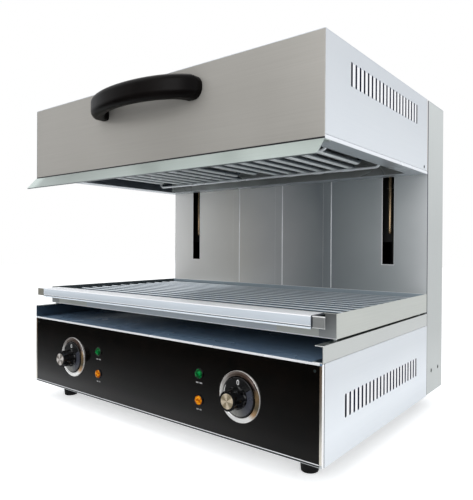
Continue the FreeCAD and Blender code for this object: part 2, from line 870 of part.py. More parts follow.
def slide_bushes():
    """Bronze sleeves that run on the guide rods."""
    bushes = []
    for side_name, side in SIDES.items():
        for level, low in bearing_levels():
            name = f"{level}_bush_{side_name}"
            x = across(side, "slot_centre")
            sleeve = bar(name, HOLE_SIDES, "z", "bush_radius", "bearing_height", x, "rod_line", low)
            rod_hole = bore(name + "_bore", HOLE_SIDES, "z", "rod_radius + shaft_fit",
                            "bearing_height + 2 * overrun", x, "rod_line", f"{low} - overrun")
            bushes.append(cut(name + "_cut", sleeve, [rod_hole]))
    return sub_part(group("bush_set", bushes), "slide_bushes")


def carriage_bolts():
    """Hexagon bolts that hold the hood's rear panel to the carriage arms."""
    bolts = []
    for side_name, side in SIDES.items():
        for level, height in bolt_levels():
            name = f"{level}_bolt_{side_name}"
            x = across(side, "slot_centre")
            head = bar(name + "_head", NUT_SIDES, "y", "bolt_head_radius", "bolt_head_height",
                       x, "hood_rear - sheet - bolt_head_height", height)
            shank = bar(name + "_shank", SCREW_SIDES, "y", "bolt_radius", "bolt_length",
                        x, "hood_rear - sheet", height)
            bolts.append(joined(name, [head, shank]))
    return sub_part(group("bolt_set", bolts), "carriage_bolts")


def balance_spring(side_name, side):
    """Tension spring that carries the hood's weight, as the sleeve that its turns fill."""
    x = across(side, "spring_centre")
    sleeve = bar(f"balance_spring_{side_name}_sleeve", HOLE_SIDES, "z", "spring_radius",
                 "spring_high - spring_low", x, "rod_line", "spring_low")
    inside = bar(f"balance_spring_{side_name}_inside", HOLE_SIDES, "z", "spring_radius - spring_wire",
                 "spring_high - spring_low + 2 * overrun", x, "rod_line", "spring_low - overrun")
    return sub_part(cut(f"balance_spring_{side_name}_cut", sleeve, [inside]), f"balance_spring_{side_name}")


def thermostat_bulb(side_name, side):
    bulb = rod(f"thermostat_bulb_{side_name}_tube", "z", "bulb_radius", "bulb_length",
               across(side, "slot_centre"), "bulb_line", "bulb_bottom")
    return sub_part(bulb, f"thermostat_bulb_{side_name}")


def bulb_clips():
    """Saddles that hold each bulb to its carriage plate."""
    clips = []
    for side_name, side in SIDES.items():
        for rise in ("low_clip_rise", "high_clip_rise"):
            name = f"{rise}_{side_name}"
            low = f"bulb_bottom + {rise} - clip_height / 2"
            saddle = block(name, span(side, "slot_centre - clip_width / 2", "slot_centre + clip_width / 2"),
                           ("bulb_line - bulb_radius / 2", "plate_front"), (low, f"{low} + clip_height"))
            bulb_hole = bore(name + "_bore", SCREW_SIDES, "z", "bulb_radius + seat_fit",
                             "clip_height + 2 * overrun", across(side, "slot_centre"), "bulb_line",
                             f"{low} - overrun")
            clips.append(cut(name + "_cut", saddle, [bulb_hole]))
    return sub_part(group("clip_set", clips), "bulb_clips")


# Hood casing

def hood_front_panel():
    sheet_metal = block("hood_front_sheet", ("-half_width", "half_width"), ("front", "front + sheet"),
                        ("hood_bottom + seam", "hood_top - sheet"))
    holes = [bore(f"hood_front_hole_{side_name}", SCREW_SIDES, "y", "handle_screw_radius + seat_fit",
                  "2 * overrun", across(side, "handle_screw_spread"), "front - overrun", "handle_centre")
             for side_name, side in SIDES.items()]
    return sub_part(cut("hood_front_cut", sheet_metal, holes), "hood_front_panel")


def hood_side(side_name, side):
    """Louvred side sheet of the hood."""
    corners = [
        (across(side, "half_width"), "front + sheet"),
        (across(side, "half_width"), "hood_rear"),
        (across(side, "half_width - sheet"), "hood_rear"),
        (across(side, "half_width - sheet"), "front + sheet"),
    ]
    body = extruded(f"hood_side_{side_name}_sheet", "XY_Plane", corners,
                    "hood_height - frame_upstand - seam - sheet", "hood_bottom + frame_upstand + seam")
    louvres(body, "front + hood_louvre_start", "body_depth - hood_louvre_start - hood_louvre_end",
            "hood_bottom + hood_louvre_low", "hood_louvre_length", HOOD_LOUVRES)
    return sub_part(body, f"hood_side_{side_name}")


def hood_top_cover():
    cover = block("hood_top_sheet", ("-half_width", "half_width"), ("front", "hood_rear"),
                  ("hood_top - sheet", "hood_top"))
    return sub_part(cover, "hood_top_cover")


def hood_rear_panel():
    sheet_metal = block("hood_rear_sheet", ("-(half_width - sheet)", "half_width - sheet"),
                        ("hood_rear - sheet", "hood_rear"), ("hood_bottom + sheet", "hood_top - sheet"))
    holes = [bore(f"hood_rear_{level}_hole_{side_name}", SCREW_SIDES, "y", "bolt_radius + seat_fit",
                  "2 * overrun", across(side, "slot_centre"), "hood_rear - overrun", height)
             for side_name, side in SIDES.items() for level, height in bolt_levels()]
    return sub_part(cut("hood_rear_cut", sheet_metal, holes), "hood_rear_panel")


def hood_lip():
    """Heat deflector under the front edge: a screwed flange, the slanted face and a folded hem."""
    corners = [
        ("front + lip_flange", "hood_bottom - sheet"),
        ("front + lip_flange", "hood_bottom"),
        ("front - sheet", "hood_bottom"),
        ("front - lip_forward", "hood_bottom - lip_drop + sheet"),
        ("front - lip_forward", "hood_bottom - lip_drop"),
        ("front - lip_forward + lip_hem", "hood_bottom - lip_drop"),
        ("front - lip_forward + lip_hem", "hood_bottom - lip_drop + sheet"),
        ("front", "hood_bottom - sheet"),
    ]
    body = extruded("hood_lip_fold", "YZ_Plane", corners, "body_width", None, True)
    return sub_part(body, "hood_lip")


def heater_frame():
    """Polished floor of the hood: a flat border round the heaters, turned up along both sides."""
    floor = block("heater_frame_floor", ("-half_width", "half_width"), ("front + sheet", "hood_rear"),
                  ("hood_bottom", "hood_bottom + sheet"))
    upstands = [block(f"heater_frame_upstand_{side_name}", span(side, "half_width - sheet", "half_width"),
                      ("front + sheet", "hood_rear"), ("hood_bottom", "hood_bottom + frame_upstand"))
                for side_name, side in SIDES.items()]
    window = block("heater_frame_window", ("-(half_width - frame_border)", "half_width - frame_border"),
                   ("front + frame_front", "hood_rear - frame_border"),
                   ("hood_bottom - overrun", "hood_bottom + overrun"))
    return sub_part(cut("heater_frame_cut", joined("heater_frame_fold", [floor] + upstands), [window]),
                    "heater_frame")


def heat_reflector():
    """Inverted shallow box over the heaters, with a hole for each terminal."""
    edge = "half_width - frame_border"
    near = "front + frame_front"
    far = "hood_rear - frame_border"
    outer = block("heat_reflector_outer", (f"-({edge} + sheet)", f"{edge} + sheet"),
                  (f"{near} - sheet", f"{far} + sheet"), ("hood_bottom + sheet", "reflector_top"))
    inner = block("heat_reflector_inner", (f"-({edge})", edge), (near, far),
                  ("hood_bottom - overrun", "reflector_top - sheet"))
    holes = []
    for side_name, side in SIDES.items():
        for end, run in (("outer", 0), ("inner", TUBE_RUNS - 1)):
            holes.append(bore(f"terminal_hole_{end}_{side_name}", SCREW_SIDES, "z", "tube_radius + seam",
                              "2 * overrun", across(side, f"tube_outer - {run} * tube_pitch"),
                              "terminal_line", "reflector_top - overrun"))
    return sub_part(cut("heat_reflector_cut", outer, [inner] + holes), "heat_reflector")


# Drawn tubes and wires that bend

def bent_path(corners, radius):
    """Straight runs whose square corners are each cut by one chord, as an arc of this radius would be."""
    chord_share = 1 - math.tan(math.pi / 8)
    points = [corners[0]]
    for before, corner, after in zip(corners, corners[1:], corners[2:]):
        for end in (before, after):
            points.append(corner + (end - corner).normalize() * radius * chord_share)
    points.append(corners[-1])
    return Part.makePolygon(points)


def drawn(name, corners, radius, bend):
    """A wire or tube of few sides, mitred along a bent path that starts along Z."""
    path = bent_path(corners, bend)
    turns = [2 * math.pi * (index + 0.5) / WIRE_SIDES for index in range(WIRE_SIDES)]
    ring = [corners[0] + Vector(radius * math.cos(turn), radius * math.sin(turn), 0) for turn in turns]
    profile = Part.makePolygon(ring + [ring[0]])
    mitred = 1
    tube = doc.addObject("Part::Feature", name)
    tube.Shape = path.makePipeShell([profile], True, False, mitred)
    section = WIRE_SIDES / 2 * radius ** 2 * math.sin(2 * math.pi / WIRE_SIDES)
    print(f"{name}: volume is {tube.Shape.Volume / (section * path.Length):.4f} of section times length")
    return tube


def heating_element(side_name, side):
    """Serpentine sheathed heater whose two ends turn up through the reflector."""
    high = value("reflector_top") + value("terminal_rise")
    level = value("tube_centre")
    near = value("tube_near")
    far = value("tube_far")
    rear_end = value("terminal_line")
    lines = [side * (value("tube_outer") - run * value("tube_pitch")) for run in range(TUBE_RUNS)]
    corners = [Vector(lines[0], rear_end, high), Vector(lines[0], rear_end, level)]
    for run, x in enumerate(lines):
        ends = (far, near) if run % 2 == 0 else (near, far)
        if run > 0:
            corners.append(Vector(x, ends[0], level))
        if run < TUBE_RUNS - 1:
            corners.append(Vector(x, ends[1], level))
    corners.append(Vector(lines[-1], rear_end, level))
    corners.append(Vector(lines[-1], rear_end, high))
    tube = drawn(f"heating_element_{side_name}_tube", corners, value("tube_radius"), value("tube_pitch") / 2)
    return sub_part(tube, f"heating_element_{side_name}")


def element_hangers():
    """Two wires under the heaters, hooked up to the reflector at both ends."""
    wires = []
    reach = value("hanger_reach")
    high = value("reflector_top") - value("sheet")
    level = value("hanger_centre")
    for place in ("hanger_near", "hanger_far"):
        y = value(place)
        corners = [Vector(-reach, y, high), Vector(-reach, y, level),
                   Vector(reach, y, level), Vector(reach, y, high)]
        wires.append(drawn(place + "_wire", corners, value("hanger_radius"), value("hanger_bend")))
    return sub_part(group("hanger_pair", wires), "element_hangers")


# Hood handle

def bow_outline(body, half_length, reach, end_radius):
    """Half an oval on the hood's front plane: a flat arc between two tighter ends, closed by a line."""
    sketch = body.newObject("Sketcher::SketchObject", body.Name + "_bow")
    sketch.AttachmentSupport = [(origin_plane(body, "XY_Plane"), "")]
    sketch.MapMode = "FlatFace"
    bind(sketch, {"AttachmentOffset.Base.y": "front", "AttachmentOffset.Base.z": "handle_centre"})
    length, depth, end = value(half_length), value(reach), value(end_radius)
    flat = (length ** 2 + depth ** 2 - 2 * length * end) / (2 * (depth - end))
    lean = math.atan2(length - end, flat - depth)
    up = Vector(0, 0, 1)
    quarter = math.pi / 2
    arcs = [(Vector(end - length, 0, 0), end, 2 * quarter, 3 * quarter - lean),
            (Vector(0, flat - depth, 0), flat, 3 * quarter - lean, 3 * quarter + lean),
            (Vector(length - end, 0, 0), end, 3 * quarter + lean, 4 * quarter)]
    for centre, radius, start, finish in arcs:
        sketch.addGeometry(Part.ArcOfCircle(Part.Circle(centre, up, radius), start, finish), False)
    sketch.addGeometry(Part.LineSegment(Vector(length, 0, 0), Vector(-length, 0, 0)), False)
    apex = sketch.addGeometry(Part.Point(Vector(0, -depth, 0)), True)
    left, middle, right, chord = range(4)
    sketch.addConstraint([
        Sketcher.Constraint("Tangent", left, 2, middle, 1),
        Sketcher.Constraint("Tangent", middle, 2, right, 1),
        Sketcher.Constraint("Coincident", right, 2, chord, 1),
        Sketcher.Constraint("Coincident", chord, 2, left, 1),
        Sketcher.Constraint("Equal", left, right),
        Sketcher.Constraint("PointOnObject", left, 3, -1),
        Sketcher.Constraint("PointOnObject", right, 3, -1),
        Sketcher.Constraint("PointOnObject", left, 1, -1),
        Sketcher.Constraint("PointOnObject", right, 2, -1),
        Sketcher.Constraint("PointOnObject", apex, 1, -2),
        Sketcher.Constraint("PointOnObject", apex, 1, middle),
    ])
    measured = ((Sketcher.Constraint("DistanceY", -1, 1, apex, 1, -depth), f"-{reach}"),
                (Sketcher.Constraint("DistanceX", -1, 1, right, 2, length), half_length),
                (Sketcher.Constraint("DistanceX", -1, 1, left, 1, -length), f"-{half_length}"),
                (Sketcher.Constraint("Radius", left, end), end_radius))
    for constraint, text in measured:
        number = sketch.addConstraint(constraint)
        bind(sketch, {f"Constraints[{number}]": text})
    return sketch


def handle():
    """Moulded bow handle: one half oval less a smaller one, bevelled round its outer face."""
    body = new_body("handle_bow")
    pad = body.newObject("PartDesign::Pad", "handle_pad")
    pad.Profile = bow_outline(body, "handle_half_length", "handle_reach", "handle_end_radius")
    pad.SideType = "Symmetric"
    bind(pad, {"Length": "handle_height"})
    opening = body.newObject("PartDesign::Pocket", "handle_opening")
    opening.Profile = bow_outline(body, "handle_inner_half_length", "handle_inner_reach",
                                  "handle_inner_end_radius")
    opening.Type = "ThroughAll"
    opening.SideType = "Symmetric"
    doc.recompute()
    bevel = body.newObject("PartDesign::Chamfer", "handle_bevelled")
    bevel.Base = (opening, long_outer_edges(opening.Shape))
    bind(bevel, {"Size": "handle_bevel"})
    bores = [bore(f"handle_bore_{side_name}", SCREW_SIDES, "y", "handle_screw_radius + seat_fit",
                  "handle_screw_length + seat_fit + overrun", across(side, "handle_screw_spread"),
                  "front - handle_screw_length - seat_fit", "handle_centre")
             for side_name, side in SIDES.items()]
    return sub_part(cut("handle_bored", body, bores), "handle")


def long_outer_edges(shape):
    """Names of the curved edges round the handle's outer face, above and below."""
    inside = value("handle_inner_reach") + value("seat_fit")
    names = []
    for number, edge in enumerate(shape.Edges, start=1):
        level = edge.BoundBox.ZLength < value("seat_fit")
        straight = edge.BoundBox.YLength < value("seat_fit")
        middle = edge.valueAt((edge.FirstParameter + edge.LastParameter) / 2)
        beyond = abs(middle.x) > value("handle_inner_half_length") or value("front") - middle.y > inside
        if level and beyond and not straight:
            names.append(f"Edge{number}")
    return names


def handle_screws():
    """Flat-headed screws driven into the handle from inside the hood."""
    screws = []
    for side_name, side in SIDES.items():
        x = across(side, "handle_screw_spread")
        shank = bar(f"handle_screw_shank_{side_name}", SCREW_SIDES, "y", "handle_screw_radius",
                    "handle_screw_length + sheet", x, "front - handle_screw_length", "handle_centre")
        head = bar(f"handle_screw_head_{side_name}", SCREW_SIDES, "y", "handle_screw_head_radius",
                   "handle_screw_head_height", x, "front + sheet", "handle_centre")
        screws.append(joined(f"handle_screw_{side_name}", [shank, head]))
    return sub_part(group("handle_screw_pair", screws), "handle_screws")


# Pull-out tray and rack

def drip_tray():
    outer = block("drip_tray_outer", ("-half_width", "half_width"), ("tray_front", "tray_rear"),
                  ("tray_bottom", "tray_top"))
    inner = block("drip_tray_inner", ("-(half_width - tray_sheet)", "half_width - tray_sheet"),
                  ("tray_front + tray_sheet", "tray_rear - tray_sheet"),
                  ("tray_bottom + tray_sheet", "tray_top + overrun"))
    return sub_part(cut("drip_tray_cut", outer, [inner]), "drip_tray")


def front_strip():
    """Steel strip folded forward and up from the tray's front wall."""
    corners = [
        ("tray_front", "strip_bottom"),
        ("tray_front", "strip_bottom + sheet"),
        ("strip_front + sheet", "strip_bottom + sheet"),
        ("strip_front + sheet", "tray_top - grip_sheet"),
        ("strip_front", "tray_top - grip_sheet"),
        ("strip_front", "strip_bottom"),
    ]
    body = extruded("front_strip_fold", "YZ_Plane", corners, "body_width", None, True)
    return sub_part(body, "tray_front_strip")


def tray_grip():
    """Aluminium grip that hooks over the strip, with a bead along its lower edge."""
    corners = [
        ("strip_front - grip_sheet", "tray_top"),
        ("tray_front", "tray_top"),
        ("tray_front", "tray_top - grip_sheet"),
        ("strip_front", "tray_top - grip_sheet"),
        ("strip_front", "strip_bottom"),
        ("strip_front + grip_return", "strip_bottom"),
        ("strip_front + grip_return", "strip_bottom - grip_bead"),
        ("strip_front - grip_sheet", "strip_bottom - grip_bead"),
    ]
    body = extruded("tray_grip_profile", "YZ_Plane", corners, "2 * (half_width - grip_inset)", None, True)
    return sub_part(body, "tray_grip")


def wire_rack():
    """Cross wires laid on four carrying wires, which stand on short legs in the tray."""
    pieces = []
    for index in range(WIRES):
        pieces.append(wire(f"cross_wire_{index + 1}", "x", "wire_radius",
                           "2 * (half_width - tray_sheet - wire_end_gap)",
                           "-(half_width - tray_sheet - wire_end_gap)",
                           f"wire_near + {index} * wire_pitch", "wire_level"))
    for side_name, side in SIDES.items():
        for place in ("half_width - carrier_inset", "carrier_spread"):
            x = across(side, place)
            name = f"carrier_{place.split()[0]}_{side_name}"
            pieces.append(wire(name, "y", "carrier_radius", "wire_far - wire_near + 2 * wire_radius",
                               x, "wire_near - wire_radius", "carrier_level"))
    legs = []
    for side_name, side in SIDES.items():
        for end, line in (("front", "wire_near + rack_leg_inset"), ("rear", "wire_far - rack_leg_inset")):
            legs.append(wire(f"rack_leg_{end}_{side_name}", "z", "carrier_radius",
                             "carrier_level - carrier_radius - tray_bottom - tray_sheet",
                             across(side, "half_width - carrier_inset"), line, "tray_bottom + tray_sheet"))
    return sub_part(group("rack_wires", pieces + legs), "wire_rack")


# Assembly

def build():
    base_tray()
    control_panel()
    deck_plate()
    column_front_panel()
    column_rear_cover()
    column_top_cap()
    tray_glides()
    feet()
    lamp_lenses("green", "green_lamp_level")
    lamp_lenses("amber", "amber_lamp_level")
    lamp_bodies()
    terminal_block()
    cable_gland()
    bezels()
    rod_brackets("lower", "rod_low", "rod_low + bracket_height")
    rod_brackets("upper", "spring_high", "rod_high")
    slide_bushes()
    carriage_bolts()
    bulb_clips()
    hood_front_panel()
    hood_top_cover()
    hood_rear_panel()
    hood_lip()
    heater_frame()
    heat_reflector()
    element_hangers()
    handle()
    handle_screws()
    drip_tray()
    front_strip()
    tray_grip()
    wire_rack()
    paired = (side_cover, tray_rail, knob, knob_cap, spindle, thermostat, column_side, guide_rod,
              carriage, balance_spring, thermostat_bulb, hood_side, heating_element)
    for make in paired:
        for side_name, side in SIDES.items():
            make(side_name, side)
    doc.recompute()


def check():
    """Stop on any failed object, and on any sub-part that isn't a whole solid."""
    for thing in doc.Objects:
        if "Invalid" in thing.State or "Error" in thing.State:
            raise RuntimeError(f"{thing.Label} failed: {thing.State}")
    for thing in sub_parts:
        shape = thing.Shape
        if shape.isNull() or not shape.isValid() or not shape.Solids:
            raise RuntimeError(f"{thing.Label} has no valid solid")


def write():
    os.makedirs("parts", exist_ok=True)
    for thing in sub_parts:
        thing.Shape.exportStep(os.path.join("parts", thing.Label + ".step"))
    print(len(sub_parts), "sub-parts written")


build()
check()
write()
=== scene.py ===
"""Looks of the cheese melter: its camera and light, its finishes, and the pieces with finer shapes.

Lengths in the pieces' making are millimetres in the part's own frame, turned to metres by mm().
"""
import json
import math

import bpy
from mathutils import Matrix, Vector


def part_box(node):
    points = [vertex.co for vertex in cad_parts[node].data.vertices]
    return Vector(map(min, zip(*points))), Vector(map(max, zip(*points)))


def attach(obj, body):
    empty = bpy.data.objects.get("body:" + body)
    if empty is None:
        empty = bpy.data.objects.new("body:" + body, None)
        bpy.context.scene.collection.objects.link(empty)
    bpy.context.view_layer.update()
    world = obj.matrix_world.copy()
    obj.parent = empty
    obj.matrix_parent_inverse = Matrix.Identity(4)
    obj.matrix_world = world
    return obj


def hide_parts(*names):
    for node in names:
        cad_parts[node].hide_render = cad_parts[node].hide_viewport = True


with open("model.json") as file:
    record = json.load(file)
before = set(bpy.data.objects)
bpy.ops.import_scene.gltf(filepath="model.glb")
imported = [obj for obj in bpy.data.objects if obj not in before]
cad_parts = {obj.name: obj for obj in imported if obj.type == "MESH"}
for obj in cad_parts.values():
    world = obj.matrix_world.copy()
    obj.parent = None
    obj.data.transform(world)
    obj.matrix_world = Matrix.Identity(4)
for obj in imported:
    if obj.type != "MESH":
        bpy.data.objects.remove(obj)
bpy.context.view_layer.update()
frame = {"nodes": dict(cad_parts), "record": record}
NODES = frame["nodes"]

# Ways of working

METRE = 1000
FAR = 2000
SIDES = {"left": -1, "right": 1}
ALONG = {"x": (0, math.pi / 2, 0), "y": (-math.pi / 2, 0, 0), "z": (0, 0, 0)}


def mm(x, y, z):
    return Vector((x, y, z)) / METRE


def cad_box(name):
    """Low and high corner of a CAD node's box, in millimetres."""
    return tuple(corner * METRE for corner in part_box(name))


def deselect():
    if bpy.context.object and bpy.context.object.mode != "OBJECT":
        bpy.ops.object.mode_set(mode="OBJECT")
    bpy.ops.object.select_all(action="DESELECT")


def take(piece):
    """Make a piece the only one selected."""
    deselect()
    piece.select_set(True)
    bpy.context.view_layer.objects.active = piece
    return piece


def settled(name):
    """Name the piece just made and put its place into its mesh."""
    piece = bpy.context.object
    piece.name = name
    piece.data.name = name
    bpy.ops.object.transform_apply(location=True, rotation=True, scale=True)
    return piece


def block(name, low, high):
    """A block between two corners."""
    deselect()
    low, high = mm(*low), mm(*high)
    bpy.ops.mesh.primitive_cube_add(size=1, location=(low + high) / 2, scale=high - low)
    return settled(name)


def side_block(name, side, inner, outer, low, high):
    """A block on one side, from its distances to the middle and its two ends in depth and height."""
    first, last = sorted((side * inner, side * outer))
    return block(name, (first, *low), (last, *high))


def round_bar(name, start, axis, radius, length, sides, end_radius=None):
    """A round bar, or a tapered one, that runs from a point along X, Y or Z."""
    deselect()
    middle = list(start)
    middle["xyz".index(axis)] += length / 2
    end_radius = radius if end_radius is None else end_radius
    bpy.ops.mesh.primitive_cone_add(vertices=sides, radius1=radius / METRE, radius2=end_radius / METRE,
                                    depth=length / METRE, location=mm(*middle), rotation=ALONG[axis])
    return settled(name)


def pick(piece, kind, test):
    """Go to edit mode with those points, edges or faces selected whose middle and way pass a test."""
    take(piece)
    bpy.context.tool_settings.mesh_select_mode = [kind == each for each in ("VERT", "EDGE", "FACE")]
    mesh = piece.data
    for table in (mesh.vertices, mesh.edges, mesh.polygons):
        table.foreach_set("select", [False] * len(table))
    if kind == "FACE":
        for face in mesh.polygons:
            face.select = test(face.center * METRE, face.normal)
    elif kind == "EDGE":
        for edge in mesh.edges:
            first, last = (mesh.vertices[index].co for index in edge.vertices)
            edge.select = test((first + last) / 2 * METRE, (last - first).normalized())
    else:
        for point in mesh.vertices:
            point.select = test(point.co * METRE, point.normal)
    bpy.ops.object.mode_set(mode="EDIT")


def done():
    bpy.ops.object.mode_set(mode="OBJECT")


def add_modifier(piece, kind, **settings):
    """Add a modifier and apply it at once."""
    take(piece)
    modifier = piece.modifiers.new(kind.title(), kind)
    for name, setting in settings.items():
        setattr(modifier, name, setting)
    bpy.ops.object.modifier_apply(modifier=modifier.name)
    return piece


def bevel_picked(width, segments):
    """Round the edges that are picked, and leave edit mode."""
    bpy.ops.mesh.bevel(offset=width / METRE, segments=segments, affect="EDGES")
    done()


def rounded(piece, width, segments=2, angle=30):
    """Round every edge sharper than an angle, and shade the rounds smooth."""
    add_modifier(piece, "BEVEL", width=width / METRE, segments=segments, limit_method="ANGLE",
                 angle_limit=math.radians(angle), use_clamp_overlap=True, harden_normals=False)
    return add_modifier(shaded(piece), "WEIGHTED_NORMAL", keep_sharp=True)


def shaded(piece, angle=35):
    take(piece)
    bpy.ops.object.shade_smooth_by_angle(angle=math.radians(angle))
    return piece


def carve(piece, cutter):
    add_modifier(piece, "BOOLEAN", operation="DIFFERENCE", solver="EXACT", object=cutter)
    bpy.data.objects.remove(cutter)
    return piece


def repeated(piece, count, step):
    return add_modifier(piece, "ARRAY", count=count, use_relative_offset=False, use_constant_offset=True,
                        constant_offset_displace=mm(*step))


def merged(name, pieces):
    """Several finished shapes as one piece."""
    take(pieces[0])
    for piece in pieces[1:]:
        piece.select_set(True)
    if len(pieces) > 1:
        bpy.ops.object.join()
    pieces[0].name = name
    pieces[0].data.name = name
    return pieces[0]


def sheet_copy(node, name):
    """A CAD sheet's own shape as a new piece, with its loose triangles merged into whole faces."""
    source = NODES[node]
    piece = bpy.data.objects.new(name, source.data.copy())
    piece.data.name = name
    piece.data.materials.clear()
    bpy.context.scene.collection.objects.link(piece)
    take(piece)
    bpy.ops.object.mode_set(mode="EDIT")
    bpy.ops.mesh.select_all(action="SELECT")
    bpy.ops.mesh.customdata_custom_splitnormals_clear()
    bpy.ops.mesh.remove_doubles(threshold=0.00001)
    bpy.ops.mesh.dissolve_limited(angle_limit=math.radians(1))
    done()
    return piece


def placed(piece, body, slot, material, *nodes):
    """Give a finished piece its finish, the body it moves with and the CAD nodes it stands for."""
    piece.data.materials.clear()
    piece.data.materials.append(material)
    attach(piece, body)
    if nodes:
        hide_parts(*nodes)
    return piece


# Shader building

def tone(red, green, blue):
    """A screen colour as the linear colour that shaders use."""
    linear = [(part / 255 / 12.92) if part <= 10 else ((part / 255 + 0.055) / 1.055) ** 2.4
              for part in (red, green, blue)]
    return (*linear, 1)


def toned(steps):
    """Steps of a ramp with their screen colours made linear."""
    return [(position, tone(*colour)) for position, colour in steps]


def feed(tree, made, inputs):
    """Link or set the inputs of a node."""
    for socket, source in inputs.items():
        if isinstance(source, bpy.types.NodeSocket):
            tree.links.new(source, made.inputs[socket])
        else:
            made.inputs[socket].default_value = source


def node(tree, kind, inputs=None, **settings):
    """A new shader node with its inputs and settings."""
    made = tree.nodes.new("ShaderNode" + kind)
    for name, setting in settings.items():
        setattr(made, name, setting)
    feed(tree, made, inputs or {})
    return made


def worked(tree, operation, *values):
    """The result of one sum or test on plain values."""
    return node(tree, "Math", dict(enumerate(values)), operation=operation).outputs[0]


def blended(tree, factor, first, second, way="MIX"):
    """A colour between two others, or their product when the way is MULTIPLY."""
    return node(tree, "Mix", {"Factor": factor, 6: first, 7: second}, data_type="RGBA",
                blend_type=way).outputs[2]


def relief(tree, height, strength, distance=0.0002):
    """A normal that follows fine relief."""
    return node(tree, "Bump", {"Height": height, "Strength": strength,
                               "Distance": distance}).outputs["Normal"]


def noise(tree, place, scale, detail, roughness=0.5):
    """Soft random clouds."""
    return node(tree, "TexNoise", {"Vector": place, "Scale": scale, "Detail": detail,
                                   "Roughness": roughness}).outputs["Fac"]


def part_of(tree, place, axis):
    """One coordinate of a place."""
    return node(tree, "SeparateXYZ", {"Vector": place}).outputs[axis]


def new_group(name, inputs, outputs):
    """An empty shader group with named sockets, and its input and output nodes."""
    tree = bpy.data.node_groups.new(name, "ShaderNodeTree")
    for socket, (kind, start) in inputs.items():
        made = tree.interface.new_socket(socket, in_out="INPUT", socket_type=kind)
        if start is not None:
            made.default_value = start
    for socket, kind in outputs.items():
        tree.interface.new_socket(socket, in_out="OUTPUT", socket_type=kind)
    return tree, tree.nodes.new("NodeGroupInput"), tree.nodes.new("NodeGroupOutput")


def scaled_between(tree, value, low, high, start=0, end=1):
    """A value from start to end, spread from low to high."""
    return node(tree, "MapRange", {"Value": value, "From Min": start, "From Max": end,
                                   "To Min": low, "To Max": high}).outputs["Result"]


def ramped(tree, value, steps):
    """A colour that follows a value from 0 to 1 through several plain colours."""
    shade = node(tree, "ValToRGB", {"Fac": value})
    ramp = shade.color_ramp
    while len(ramp.elements) < len(steps):
        ramp.elements.new(0.5)
    for element, (position, colour) in zip(ramp.elements, steps):
        element.position = position
        element.color = (*colour[:3], 1)
    return shade.outputs["Color"]


def brushed_group():
    """Fine lines drawn out along one direction, and slow clouds over them."""
    tree, start, end = new_group("Brushed lines", {
        "Vector": ("NodeSocketVector", None), "Stretch": ("NodeSocketVector", (1, 1, 1)),
        "Cloud Scale": ("NodeSocketFloat", 6)}, {"Lines": "NodeSocketFloat", "Clouds": "NodeSocketFloat"})
    drawn = node(tree, "VectorMath", {0: start.outputs["Vector"], 1: start.outputs["Stretch"]},
                 operation="MULTIPLY").outputs[0]
    feed(tree, end, {"Lines": noise(tree, drawn, 1, 4, 0.6),
                     "Clouds": noise(tree, start.outputs["Vector"], start.outputs["Cloud Scale"], 3)})
    return tree


def speckle_group():
    """Moulded or cast grain: small even bumps, and slow clouds of rubbed shine."""
    tree, start, end = new_group("Moulded grain", {
        "Vector": ("NodeSocketVector", None), "Grain Scale": ("NodeSocketFloat", 1800)},
        {"Grain": "NodeSocketFloat", "Rub": "NodeSocketFloat"})
    feed(tree, end, {"Grain": noise(tree, start.outputs["Vector"], start.outputs["Grain Scale"], 2),
                     "Rub": noise(tree, start.outputs["Vector"], 35, 4)})
    return tree


BRUSHED = brushed_group()
SPECKLE = speckle_group()


def new_material(name):
    """A material with a Principled shader, and its Object coordinates."""
    material = bpy.data.materials.new(name)
    material.use_nodes = True
    tree = material.node_tree
    shader = next(each for each in tree.nodes if each.type == "BSDF_PRINCIPLED")
    place = node(tree, "TexCoord").outputs["Object"]
    return material, tree, shader, place


def metal(name, light, dark, stretch, rough, metallic, bump):
    """Brushed or ground metal: two close tones, roughness and relief that follow the same lines."""
    material, tree, shader, place = new_material(name)
    group = node(tree, "Group", {"Vector": place, "Stretch": stretch}, node_tree=BRUSHED)
    lines, slow = group.outputs["Lines"], group.outputs["Clouds"]
    share = node(tree, "Mix", {"Factor": 0.5, "A": lines, "B": slow}, data_type="FLOAT")
    factor = scaled_between(tree, share.outputs["Result"], 0, 1, 0.3, 0.7)
    feed(tree, shader, {"Base Color": blended(tree, factor, tone(*dark), tone(*light)),
                        "Roughness": scaled_between(tree, slow, *rough, 0.3, 0.7),
                        "Normal": relief(tree, lines, bump), "Metallic": metallic})
    return material


FREE = (-FAR, FAR)


def zone(x=FREE, y=FREE, z=FREE):
    """Two corners of a box in millimetres, without limits along the ways that aren't given."""
    return tuple(zip(x, y, z))


def within(tree, place, low, high):
    """1 where a point lies between two corners, and 0 outside them."""
    parts = node(tree, "SeparateXYZ", {"Vector": place})
    mask = None
    for axis, least, most in zip("XYZ", low, high):
        for limit, operation in ((least, "GREATER_THAN"), (most, "LESS_THAN")):
            if abs(limit) < FAR:
                held = worked(tree, operation, parts.outputs[axis], limit / METRE)
                mask = held if mask is None else worked(tree, "MULTIPLY", mask, held)
    return mask


def base_colour(material):
    """A material's tree, its main shader, Object coordinates and what its base colour comes from."""
    tree = material.node_tree
    shader = next(each for each in tree.nodes if each.type == "BSDF_PRINCIPLED")
    place = node(tree, "TexCoord").outputs["Object"]
    return tree, shader, place, shader.inputs["Base Color"].links[0].from_socket


